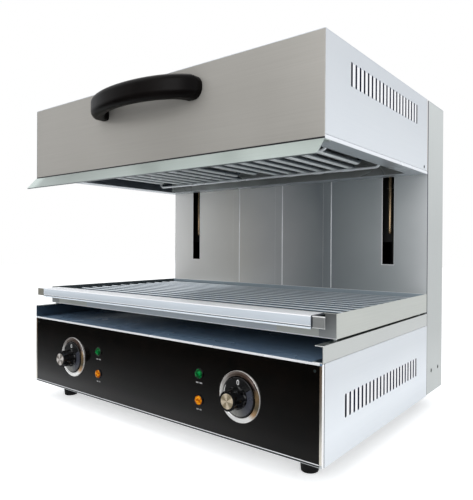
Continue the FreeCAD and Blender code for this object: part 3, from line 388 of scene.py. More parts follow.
def two_tone(material, colour, *boxes, shine=1):
    """Change a metal's base colour inside the given boxes, and dull it there when shine is under 1."""
    tree, shader, place, source = base_colour(material)
    mask = None
    for low, high in boxes:
        inside = within(tree, place, low, high)
        mask = inside if mask is None else worked(tree, "MAXIMUM", mask, inside)
    feed(tree, shader, {"Base Color": blended(tree, mask, source, tone(*colour))})
    if shine < 1:
        for socket in ("Specular IOR Level", "Metallic"):
            full = shader.inputs[socket].default_value
            tree.links.new(scaled_between(tree, mask, full, full * shine), shader.inputs[socket])
    return material


def graded(material, axis, low, high, steps):
    """Darken a metal's base colour by grey or coloured steps along one axis, between two places."""
    tree, shader, place, source = base_colour(material)
    along = part_of(tree, place, axis)
    shares = [(position, share if isinstance(share, tuple) else (share,) * 3) for position, share in steps]
    drift = ramped(tree, scaled_between(tree, along, 0, 1, low / METRE, high / METRE), shares)
    feed(tree, shader, {"Base Color": blended(tree, 1.0, source, drift, "MULTIPLY")})
    return material


def moulded(name, light, dark, rough, bump, grain=1800, specular=0.5):
    """Plastic, rubber, paint or ceramic with a fine grain and rubbed places."""
    material, tree, shader, place = new_material(name)
    group = node(tree, "Group", {"Vector": place, "Grain Scale": grain}, node_tree=SPECKLE)
    rub = group.outputs["Rub"]
    factor = scaled_between(tree, rub, 0, 1, 0.3, 0.7)
    feed(tree, shader, {"Base Color": blended(tree, factor, tone(*dark), tone(*light)),
                        "Roughness": scaled_between(tree, rub, *rough, 0.3, 0.7),
                        "Normal": relief(tree, group.outputs["Grain"], bump),
                        "Specular IOR Level": specular})
    return material


def lens_glass(name, clear, deep):
    """Tinted lamp lens: deeper colour in its moulded facets, under a clear gloss."""
    material, tree, shader, place = new_material(name)
    facets = node(tree, "TexVoronoi", {"Vector": place, "Scale": 300}).outputs["Distance"]
    colour = blended(tree, scaled_between(tree, facets, 0, 1, 0.1, 0.7), tone(*clear), tone(*deep))
    feed(tree, shader, {"Base Color": colour, "Emission Color": colour, "Emission Strength": 0.06,
                        "Normal": relief(tree, facets, 0.15, 0.0004), "Roughness": 0.2,
                        "Specular IOR Level": 0.08})
    return material


# Finishes: two tones, the way of the lines or grain, roughness, share of metal and depth of relief

ALONG_X = (6, 900, 900)
ALONG_Y = (900, 6, 900)
ALONG_Z = (900, 900, 6)
EVEN = (400, 400, 400)
COARSE = (300, 300, 300)
FINE = (500, 500, 500)
WIDTH = (-300, 300)
HEIGHT = (28, 518)
UP_TO_HOOD = (-FAR, 300)
LOUVRE_DEPTHS = (-185, 120)
COLUMN_DEPTHS = (150, 228)
COLUMN_HEIGHTS = (30, 517.6)
TRAY_DEPTHS = (-164.9, 145.9)
HANDLE_HIGHLIGHT_LEVEL = cad_box("handle")[1].z - 3.4
BEHIND_TABS = cad_box("tray_front_strip")[0].y + 1.5

hood_steel = metal("Hood front steel", (174, 171, 165), (163, 160, 154), ALONG_X, (0.32, 0.4), 0.4, 0.03)
graded(hood_steel, "X", *WIDTH, ((0, 0.95), (0.35, 0.98), (0.6, 0.9), (0.75, 0.95), (1, 1)))
# Painted shade: a darker left edge, and a dark line along the lower edge where the front meets the lip.
two_tone(hood_steel, (86, 90, 90), zone(x=(-FAR, -298.5)))
two_tone(hood_steel, (36, 36, 40), zone(z=(-FAR, 398.2)))

cover_steel = metal("Side cover steel", (246, 250, 253), (239, 244, 249), ALONG_Y, (0.4, 0.48), 0.2, 0.03)
# Painted shade: lightest low on the base, darker towards its top and over the hood's sides.
graded(cover_steel, "Z", *HEIGHT, ((0, 0.93), (0.065, 1), (0.15, 0.9), (0.2, 0.82), (0.76, 0.85),
                                   (0.96, 0.74)))
# Painted highlights: white on the hem's front face, the rear ends, and the strips between the louvres on
# base and hood.
two_tone(cover_steel, (255, 255, 255),
         zone(y=(-FAR, -193.4), z=UP_TO_HOOD), zone(y=(146.9, FAR), z=UP_TO_HOOD),
         zone(y=(-144.5, 100.5), z=(72.5, 98.5)), zone(y=(-134.5, 97), z=(470.5, 497.5)))
two_tone(cover_steel, (248, 240, 233), zone(y=(143.2, FAR), z=(400, FAR)))
# Painted shade: dark blue inside the louvre slots and in the gap behind the hem.
two_tone(cover_steel, (8, 20, 64),
         zone((-299.97, 299.97), LOUVRE_DEPTHS, (68, 103)),
         zone((-299.97, 299.97), LOUVRE_DEPTHS, (465, 502)),
         zone((-299.9, 299.9), (-193.8, -190.8), UP_TO_HOOD), shine=0.15)

casing_steel = metal("Casing steel", (204, 208, 208), (193, 198, 199), ALONG_Z, (0.36, 0.46), 0.3, 0.04)
# Painted shade: near black inside the column.
two_tone(casing_steel, (5, 5, 6), zone((-298.9, 298.9), COLUMN_DEPTHS, COLUMN_HEIGHTS), shine=0.1)

column_steel = metal("Column steel", (214, 217, 214), (204, 208, 205), ALONG_Z, (0.36, 0.46), 0.3, 0.04)
# Painted shade: darker at mid height.
graded(column_steel, "Z", *HEIGHT, ((0, 0.97), (0.1, 0.94), (0.22, 0.84), (0.56, 0.83), (0.8, 0.93),
                                    (1, 1)))
# Painted shade: a darker strip along the front edge, and near black inside the column.
two_tone(column_steel, (104, 105, 112), zone(y=(-FAR, 149.7)))
two_tone(column_steel, (5, 5, 6), zone((-299.2, 299.2), COLUMN_DEPTHS, COLUMN_HEIGHTS), shine=0.1)

tray_steel = metal("Tray steel", (204, 206, 199), (189, 192, 185), ALONG_Y, (0.3, 0.4), 0.4, 0.05)
two_tone(tray_steel, (194, 201, 206), zone((-190, 215), (-FAR, -164.9)))
# Painted shade: darker inside the tray, under the rack, and up the whole of its left inner wall.
two_tone(tray_steel, (70, 78, 82), zone((-299.3, 299.3), TRAY_DEPTHS, (168.4, 190.5)),
         zone((-299.3, -290), TRAY_DEPTHS, (168.4, 197.3)), shine=0.4)
# Painted highlights: white along the lower front edge and the top of the rear rim.
two_tone(tray_steel, (250, 252, 253), zone(y=(-FAR, -164.9), z=(-FAR, 168.9)),
         zone((-299, 299), (143, FAR), (197.3, FAR)))
# Painted light: a paler band high on the inner rear wall.
two_tone(tray_steel, (172, 186, 196), zone((-299.3, 299.3), (143, 146), (190.5, 197.3)))

rail_steel = metal("Rail steel", (212, 214, 210), (197, 200, 197), ALONG_Y, (0.2, 0.28), 0.85, 0.04)
# Painted shade: dark blue on the rails' inner sides and darker above them; painted highlight: white on the
# right rail's front end.
two_tone(rail_steel, (104, 124, 144), zone((-299.1, 299.1), z=(144, 164.2)), shine=0.5)
two_tone(rail_steel, (62, 70, 64), zone((-299.5, 299.5), z=(164.2, FAR)), shine=0.7)
two_tone(rail_steel, (250, 252, 250), zone((0, FAR), (-FAR, -196.1), (144, FAR)))

lip_steel = metal("Lip steel", (209, 220, 214), (194, 206, 200), ALONG_X, (0.28, 0.36), 0.4, 0.04)
# Painted reflection: bright at the far left end, darker across the left and middle. Painted shade: dark
# along the lower edge.
graded(lip_steel, "X", *WIDTH, ((0, 1), (0.03, 1), (0.06, 0.62), (0.2, 0.56), (0.45, 0.75), (0.6, 0.81),
                                (0.85, 0.78), (1, 0.68)))
two_tone(lip_steel, (104, 110, 112), zone(z=(-FAR, 377.1)))

polished = metal("Polished steel", (196, 203, 207), (180, 188, 193), ALONG_X, (0.2, 0.3), 0.4, 0.03)
# Painted highlight: white on the end faces at both sides.
two_tone(polished, (244, 247, 250), zone(x=(299.4, FAR)), zone(x=(-FAR, -299.4)))
apron_steel = metal("Tray front steel", (158, 161, 161), (138, 142, 143), ALONG_X, (0.26, 0.36), 0.6, 0.04)
deck_steel = metal("Deck steel", (134, 158, 182), (104, 128, 154), ALONG_X, (0.2, 0.3), 0.3, 0.03)

# Painted shade: a dark base tone between the tubes, darker towards the right; painted light on the rear
# part.
reflector_steel = metal("Reflector steel", (92, 99, 106), (70, 77, 84), ALONG_Y, (0.25, 0.4), 0.6, 0.05)
two_tone(reflector_steel, (214, 219, 217), zone(y=(112, FAR)))
graded(reflector_steel, "X", *WIDTH, ((0, 1), (0.25, 0.8), (0.5, 0.45), (1, 0.4)))
sheath = metal("Heater sheath", (250, 254, 254), (232, 240, 241), EVEN, (0.2, 0.34), 0.25, 0.2)
# Painted light and shade: the tubes white on their undersides, dark above.
graded(sheath, "Z", 404, 412, ((0, 1), (0.22, 0.9), (0.42, (0.2, 0.22, 0.24)), (1, (0.12, 0.14, 0.16))))
hanger_wire = metal("Hanger wire", (246, 250, 252), (222, 228, 232), ALONG_X, (0.25, 0.35), 0.35, 0.05)
rack_wire = metal("Rack chrome", (252, 254, 255), (236, 243, 248), ALONG_Z, (0.14, 0.24), 0.6, 0.04)
# Painted highlight on the tops of the wires, painted shade on their sides and below.
graded(rack_wire, "Z", 189.5, 193, ((0, (0.18, 0.23, 0.28)), (0.46, (0.24, 0.3, 0.36)),
                                    (0.62, (0.94, 0.98, 1)), (1, 1)))

grip_metal = metal("Grip aluminium", (206, 214, 221), (196, 204, 212), ALONG_X, (0.28, 0.38), 0.2, 0.03)
# Painted highlights: white top face, a white line over the groove and white below the bead, pale on the
# bead; painted shade: dark in the groove and on the right end face.
two_tone(grip_metal, (252, 253, 255), zone(z=(196.3, FAR)), zone(z=(185.3, 186.4)), zone(z=(-FAR, 182.6)))
two_tone(grip_metal, (222, 231, 238), zone(z=(182.6, 184.3)))
two_tone(grip_metal, (104, 112, 122), zone(z=(184.3, 185.3)), shine=0.3)
two_tone(grip_metal, (76, 80, 86), zone(x=(282.9, FAR)), shine=0.2)
tab_steel = metal("Tab steel", (154, 156, 155), (144, 146, 145), ALONG_X, (0.25, 0.35), 0.45, 0.03)
graded(tab_steel, "X", *WIDTH, ((0, (1, 0.94, 0.8)), (0.5, 1)))
# Painted shadow: a dark band at the right tab's inner end, beside the grip's end. Painted highlights: white
# top and bottom edges. Painted shade: near black behind the tab fronts.
two_tone(tab_steel, (60, 64, 68), zone(x=(280, 284.3)))
two_tone(tab_steel, (255, 255, 254), zone(z=(196, FAR)), zone(z=(-FAR, 184.1)))
two_tone(tab_steel, (14, 18, 20), zone(y=(BEHIND_TABS, FAR)), shine=0.2)
corner_steel = metal("Tray corner steel", (174, 177, 177), (162, 166, 167), ALONG_X, (0.26, 0.36), 0.4,
                     0.04)
# Painted shade: darker towards the top, under the strip.
graded(corner_steel, "Z", 168, 198, ((0, 1), (0.5, 0.7), (1, 0.34)))

strip_chrome = metal("Panel strip", (252, 248, 238), (236, 230, 214), ALONG_Z, (0.2, 0.3), 0.4, 0.02)
# Painted reflection: bright low down, dark brown at the top.
graded(strip_chrome, "Z", 30, 144, ((0, 1), (0.2, 0.8), (0.45, 0.34), (0.75, (0.2, 0.16, 0.13)),
                                    (1, (0.14, 0.1, 0.07))))
# Painted highlight: trim bars over and under the panel in near white.
edge_steel = metal("Bright edge", (250, 251, 252), (240, 242, 244), ALONG_X, (0.2, 0.3), 0.3, 0.02)
chrome = metal("Dial chrome", (238, 234, 230), (214, 206, 200), EVEN, (0.05, 0.12), 1, 0)
# Painted shade: carriage castings and guide rods nearly black, for the shade in the column where they sit.
cast = metal("Carriage steel", (12, 12, 13), (6, 6, 7), COARSE, (0.5, 0.7), 0.2, 0.3)
shaft_steel = metal("Ground shaft", (24, 24, 26), (14, 14, 15), ALONG_Z, (0.4, 0.5), 0.3, 0.05)
zinc = metal("Zinc plate", (196, 200, 200), (158, 164, 166), FINE, (0.25, 0.4), 0.85, 0.1)
spring_metal = metal("Spring steel", (60, 62, 66), (38, 40, 44), ALONG_X, (0.3, 0.45), 0.9, 0.2)
bronze = metal("Bearing bronze", (176, 132, 82), (140, 100, 60), ALONG_Z, (0.3, 0.45), 0.95, 0.15)
copper = metal("Bulb tube", (206, 186, 152), (150, 124, 96), ALONG_Z, (0.16, 0.26), 0.8, 0.05)
# Painted shade: bulb clips nearly black, for the same shade.
dark_clip = metal("Clip steel", (20, 20, 21), (12, 12, 13), FINE, (0.4, 0.5), 0.3, 0.1)

handle_black = moulded("Handle plastic", (14, 11, 10), (8, 6, 6), (0.3, 0.42), 0.1, 1500, 0.07)
# Painted highlight: a lighter band along the handle's top edge.
two_tone(handle_black, (62, 58, 56), zone(z=(HANDLE_HIGHLIGHT_LEVEL, FAR)))
knob_black = moulded("Knob plastic", (14, 14, 15), (7, 7, 8), (0.1, 0.18), 0.04, 2200)
panel_black = moulded("Control panel", (7, 4, 2), (2, 2, 1), (0.08, 0.12), 0, 2600)
foot_rubber = moulded("Foot rubber", (18, 18, 19), (9, 9, 10), (0.5, 0.7), 0.4, 1200, 0.25)
dark_plastic = moulded("Dark plastic", (34, 34, 36), (22, 22, 24), (0.4, 0.55), 0.3, 1600)
ceramic = moulded("Ceramic", (226, 220, 206), (206, 198, 182), (0.4, 0.6), 0.3, 900)
print_grey = moulded("Panel print", (150, 150, 150), (120, 120, 120), (0.5, 0.6), 0.05)
print_white = moulded("Dial print", (226, 226, 226), (196, 196, 196), (0.5, 0.6), 0.05)
# Painted shade: the dark sheets seen through the louvres.
shade_sheet_black = moulded("Slot shade sheet", (14, 26, 72), (8, 18, 58), (0.6, 0.7), 0.1, specular=0.05)
# Painted shade: a dark strip in the seam under the panel.
seam_black = moulded("Seam", (20, 20, 22), (12, 12, 14), (0.5, 0.6), 0.05, specular=0.2)
# Painted shade: screw heads dark for the shade of their holes.
screw_shade_dark = moulded("Screw shade", (40, 48, 48), (22, 30, 30), (0.4, 0.5), 0.1, 1500, 0.12)
green_lens = lens_glass("Green lens", (4, 134, 62), (0, 58, 22))
amber_lens = lens_glass("Amber lens", (250, 168, 14), (150, 66, 2))

# Painted reflection across the back wall: light at the left, darkest right of the middle.
WALL_REFLECTION_TONES = ((0, (252, 252, 250)), (0.14, (250, 250, 246)), (0.3, (230, 229, 224)),
              (0.46, (200, 202, 203)), (0.66, (142, 149, 153)), (0.84, (176, 183, 185)),
              (1, (222, 225, 226)))
RIB_EDGE_HIGHLIGHTS = [zone(x=(edge - 0.55, edge + 0.55), y=(-FAR, 148)) for edge in (-120, -102, 9, 102, 120)]
SLOT_EDGE_HIGHLIGHTS = (zone(x=(-242.6, -241.4), z=(244, FAR)), zone(x=(-220.6, -219.4), z=(244, FAR)),
              zone(x=(219.3, 220.6), z=(243.8, FAR)), zone(x=(241.4, 242.2), z=(243.8, FAR)),
              zone(x=(219.3, 242.2), z=(243.8, 245.1)))


def sheet_wall():
    """Back wall: rolled sheet with a painted reflection that drifts slowly from side to side."""
    material, tree, shader, place = new_material("Back wall steel")
    group = node(tree, "Group", {"Vector": place, "Stretch": ALONG_Z, "Cloud Scale": 5},
                 node_tree=BRUSHED)
    lines, slow = group.outputs["Lines"], group.outputs["Clouds"]
    moved = worked(tree, "ADD", part_of(tree, place, "X"), worked(tree, "MULTIPLY_ADD", slow, 0.12, -0.06))
    feed(tree, shader, {
        "Base Color": ramped(tree, scaled_between(tree, moved, 0, 1, -0.3, 0.3), toned(WALL_REFLECTION_TONES)),
        "Roughness": scaled_between(tree, slow, 0.26, 0.34), "Normal": relief(tree, lines, 0.02),
        "Metallic": 0.3})
    return material


wall_steel = sheet_wall()
# Painted highlights: white on the rib faces, the rib edges and the slot edges.
two_tone(wall_steel, (252, 253, 254), zone(x=(-215, 215), y=(146.7, 148.3)), *SLOT_EDGE_HIGHLIGHTS, *RIB_EDGE_HIGHLIGHTS)
# Painted shade: near black behind the wall.
two_tone(wall_steel, (6, 6, 7), zone(y=(149, FAR)), shine=0.1)


FULL_TURN = 2 * math.pi


def dial_place(tree, place, centre):
    """A point's radius, and its turn from the top, seen from the front of a dial."""
    flat = place
    for operation, other in (("SUBTRACT", mm(*centre)), ("MULTIPLY", (1, 0, 1))):
        flat = node(tree, "VectorMath", {0: flat, 1: other}, operation=operation).outputs[0]
    parts = node(tree, "SeparateXYZ", {"Vector": flat})
    radius = node(tree, "VectorMath", {0: flat}, operation="LENGTH").outputs["Value"]
    angle = worked(tree, "ARCTAN2", worked(tree, "MULTIPLY", parts.outputs["X"], -1), parts.outputs["Z"])
    whole = worked(tree, "ADD", worked(tree, "MODULO", angle, FULL_TURN), FULL_TURN)
    return radius, worked(tree, "MODULO", whole, FULL_TURN)


# Painted reflections round the ring, turning from its top: dark brown, white at the left and bottom, dark
# and brownish at the right.
RING_REFLECTION_TONES = ((0.0, (70, 58, 50)), (0.08, (104, 94, 88)), (0.22, (232, 230, 226)), (0.4, (255, 255, 253)),
              (0.6, (255, 255, 252)), (0.645, (196, 158, 118)), (0.7, (96, 88, 70)), (0.77, (140, 116, 84)),
              (0.83, (44, 34, 30)), (0.93, (66, 50, 42)), (1.0, (70, 58, 50)))


RING_RIM = 32.1


def ring_chrome(name, centre):
    """Chrome ring with painted reflections: dark and brownish over its top and right, white at its left and
    bottom.
    """
    material, tree, shader, place = new_material(name)
    radius, turn = dial_place(tree, place, centre)
    painted_reflection = ramped(tree, scaled_between(tree, turn, 0, 1, 0, FULL_TURN), toned(RING_REFLECTION_TONES))
    # Painted highlight: the outer rim is pale.
    rim = worked(tree, "GREATER_THAN", radius, RING_RIM / METRE)
    feed(tree, shader, {"Base Color": blended(tree, rim, painted_reflection, tone(236, 232, 228)), "Metallic": 0.55,
                        "Roughness": scaled_between(tree, noise(tree, place, 260, 3), 0.08, 0.18)})
    return material


def spun_cap(name, centre, light, dark):
    """Pale spun metal with fine rings, and bright wedges painted into its colour as highlights."""
    material, tree, shader, place = new_material(name)
    radius, turn = dial_place(tree, place, centre)
    rings, rays = (
        node(tree, "TexNoise", {"W": value, "Scale": scale, "Detail": 2},
             noise_dimensions="1D").outputs["Fac"] for value, scale in ((radius, 3500), (turn, 9)))
    wave = worked(tree, "SINE", worked(tree, "MULTIPLY_ADD", turn, 4, 0.6))
    painted_sectors = scaled_between(tree, worked(tree, "MULTIPLY_ADD", wave, 0.35, rays), 0, 1, 0.2, 0.85)
    feed(tree, shader, {"Base Color": blended(tree, painted_sectors, tone(*dark), tone(*light)),
                        "Normal": relief(tree, rings, 0.2, 0.0001), "Metallic": 0.6,
                        "Roughness": scaled_between(tree, rings, 0.25, 0.4, 0.3, 0.7)})
    return material


# Tones of the printed band, which darken round the dial as painted shade.
BAND_PRINT_AND_SHADE_TONES = ((0.0, (190, 190, 188)), (0.3, (150, 150, 146)), (0.5, (124, 124, 120)), (0.6, (84, 86, 88)),
              (0.72, (58, 60, 68)))
BAND_TURNS = (math.radians(58), math.radians(302))
BAND_OUTER = 23.8 / METRE
BAND_INNER = (23.2 / METRE, 12.2 / METRE)


def dial_skirt(name, centre):
    """Black dial with a printed band that widens round it, the band darkened towards the right as painted
    shade.
    """
    material, tree, shader, place = new_material(name)
    radius, turn = dial_place(tree, place, centre)
    sweep = scaled_between(tree, turn, 0, 1, *BAND_TURNS)
    band = worked(tree, "GREATER_THAN", radius, scaled_between(tree, sweep, *BAND_INNER, 0, 0.75))
    for value, operation, limit in ((radius, "LESS_THAN", BAND_OUTER),
                                    (turn, "GREATER_THAN", BAND_TURNS[0]),
                                    (turn, "LESS_THAN", BAND_TURNS[1])):
        band = worked(tree, "MULTIPLY", band, worked(tree, operation, value, limit))
    rub = node(tree, "Group", {"Vector": place}, node_tree=SPECKLE).outputs["Rub"]
    feed(tree, shader, {
        "Base Color": blended(tree, band, tone(16, 16, 17), ramped(tree, sweep, toned(BAND_PRINT_AND_SHADE_TONES))),
        "Roughness": scaled_between(tree, rub, 0.22, 0.34, 0.3, 0.7)})
    return material


# Camera

FITTED_FRAME = (473, 500)
camera_data = bpy.data.cameras.new("camera")
camera = bpy.data.objects.new("camera", camera_data)
bpy.context.scene.collection.objects.link(camera)
camera_data.sensor_width = 36
camera_data.lens = 499.6 * camera_data.sensor_width / max(FITTED_FRAME)
camera_data.shift_x = (FITTED_FRAME[0] / 2 - 260.1) / max(FITTED_FRAME)
camera_data.shift_y = -0.004
camera_data.clip_end = 50
camera.matrix_world = (Matrix.Translation((0.5759, -0.6817, 0.2763))
                       @ Matrix.Rotation(math.radians(36.91), 4, "Z")
                       @ Matrix.Rotation(math.radians(90 - 0.267), 4, "X")
                       @ Matrix.Rotation(math.radians(0.338), 4, "Z"))
bpy.context.scene.camera = camera
bpy.context.scene.view_settings.view_transform = "Standard"

# Studio

WHITE = (1, 1, 1, 1)
FLOOR_REACH = 12
PANEL_FRONT = -0.1965
DARK_SIDE = (-0.50, -0.866, 0.0)
ROOM_TONES = ((0.0, (0.88, 0.90, 0.93)), (0.78, (0.84, 0.85, 0.87)), (0.90, (0.62, 0.62, 0.62)),
              (0.96, (0.36, 0.355, 0.35)), (0.992, (0.14, 0.138, 0.135)))


def studio_world():
    """White for the camera; for light and reflections a pale room, darker low down at the front left."""
    world = bpy.data.worlds.new("studio")
    bpy.context.scene.world = world
    world.use_nodes = True
    tree = world.node_tree
    back = next(each for each in tree.nodes if each.type == "BACKGROUND")
    view = node(tree, "TexCoord").outputs["Generated"]
    towards = node(tree, "VectorMath", {0: view, 1: DARK_SIDE}, operation="DOT_PRODUCT")
    room = ramped(tree, scaled_between(tree, towards.outputs["Value"], 0, 1), ROOM_TONES)
    seen = node(tree, "LightPath").outputs["Is Camera Ray"]
    feed(tree, back, {"Color": blended(tree, seen, room, WHITE), "Strength": 1})


def area_lamp(name, place, aim, size, power):
    data = bpy.data.lights.new(name, "AREA")
    data.shape = "SQUARE"
    data.size = size
    data.energy = power
    lamp = bpy.data.objects.new(name, data)
    bpy.context.scene.collection.objects.link(lamp)
    lamp.location = place
    lamp.rotation_euler = (Vector(aim) - Vector(place)).to_track_quat("-Z", "Y").to_euler()
    lamp.visible_camera = False


FRONT_TONES = ((0.0, 0.92), (0.08, 0.86), (0.12, 0.5), (0.17, 0.3), (0.25, 0.14), (0.4, 0.04), (1.0, 0.012))
SIDE_FALL = ((0.0, 1), (0.5, 0.85), (0.8, 0.5), (1.0, 0.4))


def greys(steps):
    """Steps of a ramp with plain greys as their colours."""
    return [(position, (grey, grey, grey)) for position, grey in steps]


def pale_floor():
    """White floor; polished faces see it fall into shade in front of the object."""
    deselect()
    bpy.ops.mesh.primitive_plane_add(size=FLOOR_REACH)
    floor = bpy.context.object
    floor.name = "floor"
    material, tree, shader, place = new_material("Floor")
    forward, across = part_of(tree, place, "Y"), part_of(tree, place, "X")
    ahead = scaled_between(tree, forward, 0, 1, PANEL_FRONT, PANEL_FRONT - 1)
    fade = ramped(tree, ahead, greys(FRONT_TONES))
    side_fade = ramped(tree, scaled_between(tree, across, 0, 1, -0.3, 0.3), greys(SIDE_FALL))
    fade = blended(tree, scaled_between(tree, ahead, 0, 1, 0, 0.03), fade, side_fade, "MULTIPLY")
    path = node(tree, "LightPath")
    feed(tree, shader, {
        "Base Color": blended(tree, path.outputs["Is Glossy Ray"], (0.92, 0.92, 0.92, 1), fade),
        "Roughness": scaled_between(tree, noise(tree, place, 3, 3), 0.8, 0.95), "Specular IOR Level": 0,
        "Emission Color": WHITE,
        "Emission Strength": scaled_between(tree, path.outputs["Is Camera Ray"], 0, 0.45)})
    floor.data.materials.append(material)


studio_world()
pale_floor()
area_lamp("right_lamp", (1.7, 0.2, 1.3), (0.1, 0, 0.3), 1.4, 2)
area_lamp("top_lamp", (-0.3, -0.6, 2.0), (0, 0, 0.3), 1.6, 5)
area_lamp("front_lamp", (0.35, -1.7, 0.8), (0, 0, 0.2), 1.0, 9)

# CAD nodes that keep their own shape

KEPT_FINISHES = {
    "cast_steel": cast, "polished_steel": polished, "satin_steel": casing_steel, "zinc_steel": zinc,
    "bronze": bronze, "copper_bulb": copper, "ceramic": ceramic, "dark_plastic": dark_plastic,
    "spring_steel": spring_metal, "black_panel": panel_black, "foot_rubber": foot_rubber,
    "green_lens": green_lens, "amber_lens": amber_lens, "stainless_brushed": casing_steel,
    "bright_chrome": chrome, "heater_sheath": sheath, "handle_plastic": handle_black,
    "knob_plastic": knob_black, "cap_metal": zinc, "grip_aluminium": grip_metal, "rack_chrome": rack_wire,
}
KEPT_BY_NODE = {"guide_rod_left": shaft_steel, "guide_rod_right": shaft_steel, "bulb_clips": dark_clip}
for part in frame["record"]["subparts"]:
    data = NODES[part["node"]].data
    data.materials.clear()
    data.materials.append(KEPT_BY_NODE.get(part["node"], KEPT_FINISHES[part["material_slot"]]))

# Sheets with rounded edges

SHEET_EDGE = 0.45
SHEETS = {
    "hood_front_panel": ("hood", "stainless_brushed", hood_steel),
    "hood_top_cover": ("hood", "stainless_brushed", cover_steel),
    "hood_rear_panel": ("hood", "stainless_brushed", wall_steel),
    "hood_lip": ("hood", "stainless_brushed", lip_steel),
    "heater_frame": ("hood", "polished_steel", polished),
    "heat_reflector": ("hood", "polished_steel", reflector_steel),
    "base_tray": ("base", "stainless_brushed", casing_steel),
    "control_panel": ("base", "black_panel", panel_black),
    "deck_plate": ("base", "polished_steel", deck_steel),
    "tray_rail_left": ("base", "stainless_brushed", rail_steel),
    "tray_rail_right": ("base", "stainless_brushed", rail_steel),
    "column_side_left": ("base", "satin_steel", column_steel),
    "column_side_right": ("base", "satin_steel", column_steel),
    "column_rear_cover": ("base", "satin_steel", casing_steel),
    "column_top_cap": ("base", "satin_steel", casing_steel),
    "drip_tray": ("tray", "stainless_brushed", tray_steel),
}
COLUMN_HOLES = ((172.5, 66), (207.5, 66))
CHEEK_HOLES = ((130, 406.5),)


def drilled(sheet, side, spots, radius):
    """Screw holes through a side sheet."""
    for y, z in spots:
        carve(sheet, round_bar("drill", (side * 300 - 2.5, y, z), "x", radius, 5, 32))
    return sheet


for name, (body, slot, material) in SHEETS.items():
    sheet = sheet_copy(name, name + "_edged")
    if name.startswith("column_side"):
        drilled(sheet, SIDES[name.split("_")[-1]], COLUMN_HOLES, 3.3)
    placed(rounded(sheet, SHEET_EDGE), body, slot, material, name)


def ribbed_wall():
    """Back wall with softly pressed ribs and rounded slot edges."""
    wall = sheet_copy("column_front_panel", "ribbed_wall")
    front = cad_box("column_front_panel")[0].y
    pick(wall, "EDGE", lambda middle, way: abs(middle.y - front) < 0.1 and abs(way.z) > 0.9)
    bevel_picked(1.4, 3)
    return placed(rounded(wall, 0.3), "base", "satin_steel", wall_steel, "column_front_panel")


ribbed_wall()


# Louvred sides

SHEET = 1.2
HEM = 2.8
HEM_GAP = 1.1
FOLD_ENDS = (3.3, 2.5)
LOUVRE_WIDTH = 4.3
BASE_LOUVRES = (52.9, 11.37, 22, 71.3, 99.7)
HOOD_LOUVRES = (63.1 - SHEET, 11.84, 20, 469.3, 498.9)
# Reaches of the dark painted-shade sheets behind the louvres.
BASE_SHADE_SHEET = ((-148, 68), (104, 103))
HOOD_SHADE_SHEET = ((-138, 466), (101, 502))


def slot_row(side, front, start, pitch, count, low, high):
    """A row of round-ended cutters across a side sheet, counted from the sheet's front edge."""
    first = front + start
    cutter = side_block("slot_cutter", side, 290, 310, (first, low), (first + LOUVRE_WIDTH, high))
    pick(cutter, "EDGE", lambda middle, way: abs(way.x) > 0.9)
    bevel_picked(LOUVRE_WIDTH / 2 - 0.05, 5)
    return repeated(cutter, count, (0, pitch, 0))


def base_side(side_name, side):
    """Louvred cover, and in front of it the hem that folds round the control panel's end."""
    low, high = cad_box(f"side_cover_{side_name}")
    outer = max(abs(low.x), abs(high.x))
    inner = outer - SHEET
    fold_low, fold_high = low.z + FOLD_ENDS[0], high.z - FOLD_ENDS[1]
    cover = side_block(f"base_side_{side_name}", side, inner, outer, (low.y + HEM + HEM_GAP, low.z),
                       (high.y, high.z))
    carve(cover, slot_row(side, low.y, *BASE_LOUVRES))
    hem = side_block("hem", side, inner, outer, (low.y, low.z), (low.y + HEM, high.z))
    pick(hem, "FACE", lambda middle, way: True)
    for place, normal in (((0, low.y + SHEET, 0), (0, 1, 0)), ((0, 0, fold_low), (0, 0, 1)),
                          ((0, 0, fold_high), (0, 0, 1))):
        bpy.ops.mesh.select_all(action="SELECT")
        bpy.ops.mesh.bisect(plane_co=mm(*place), plane_no=normal)
    pick(hem, "FACE", lambda middle, way: way.x * side < -0.9 and middle.y < low.y + SHEET
         and fold_low < middle.z < fold_high)
    bpy.ops.mesh.extrude_region_move(TRANSFORM_OT_translate={"value": mm(-side * HEM, 0, 0)})
    done()
    cover = merged(cover.name, [rounded(cover, 0.3, 2), rounded(hem, 0.4, 3)])
    placed(cover, "base", "stainless_brushed", cover_steel, f"side_cover_{side_name}")


def hood_cheek(side_name, side):
    """Louvred side of the hood, with its screw hole."""
    low, high = cad_box(f"hood_side_{side_name}")
    cheek = block(f"hood_cheek_{side_name}", tuple(low), tuple(high))
    drilled(cheek, side, CHEEK_HOLES, 2.8)
    carve(cheek, slot_row(side, low.y, *HOOD_LOUVRES))
    placed(rounded(cheek, 0.3, 2), "hood", "stainless_brushed", cover_steel, f"hood_side_{side_name}")


def slot_shade_sheet(name, side, body, low, high):
    """Dark sheet close behind a row of louvres, as painted shade seen through the slots."""
    placed(rounded(side_block(name, side, 296, 297, low, high), 0.2), body, "dark_plastic", shade_sheet_black)


for side_name, side in SIDES.items():
    slot_shade_sheet(f"base_shade_sheet_{side_name}", side, "base", *BASE_SHADE_SHEET)
    slot_shade_sheet(f"hood_shade_sheet_{side_name}", side, "hood", *HOOD_SHADE_SHEET)
    base_side(side_name, side)
    hood_cheek(side_name, side)


# Bent wires, turned and pressed shapes

def chain(points):
    """Go to edit mode on a new line of edges through the given points."""
    deselect()
    bpy.context.tool_settings.mesh_select_mode = (True, False, False)
    bpy.ops.mesh.primitive_plane_add(size=0.001, location=points[0])
    bpy.ops.object.mode_set(mode="EDIT")
    bpy.ops.mesh.merge(type="CENTER")
    for first, last in zip(points, points[1:]):
        bpy.ops.mesh.extrude_region_move(TRANSFORM_OT_translate={"value": last - first})


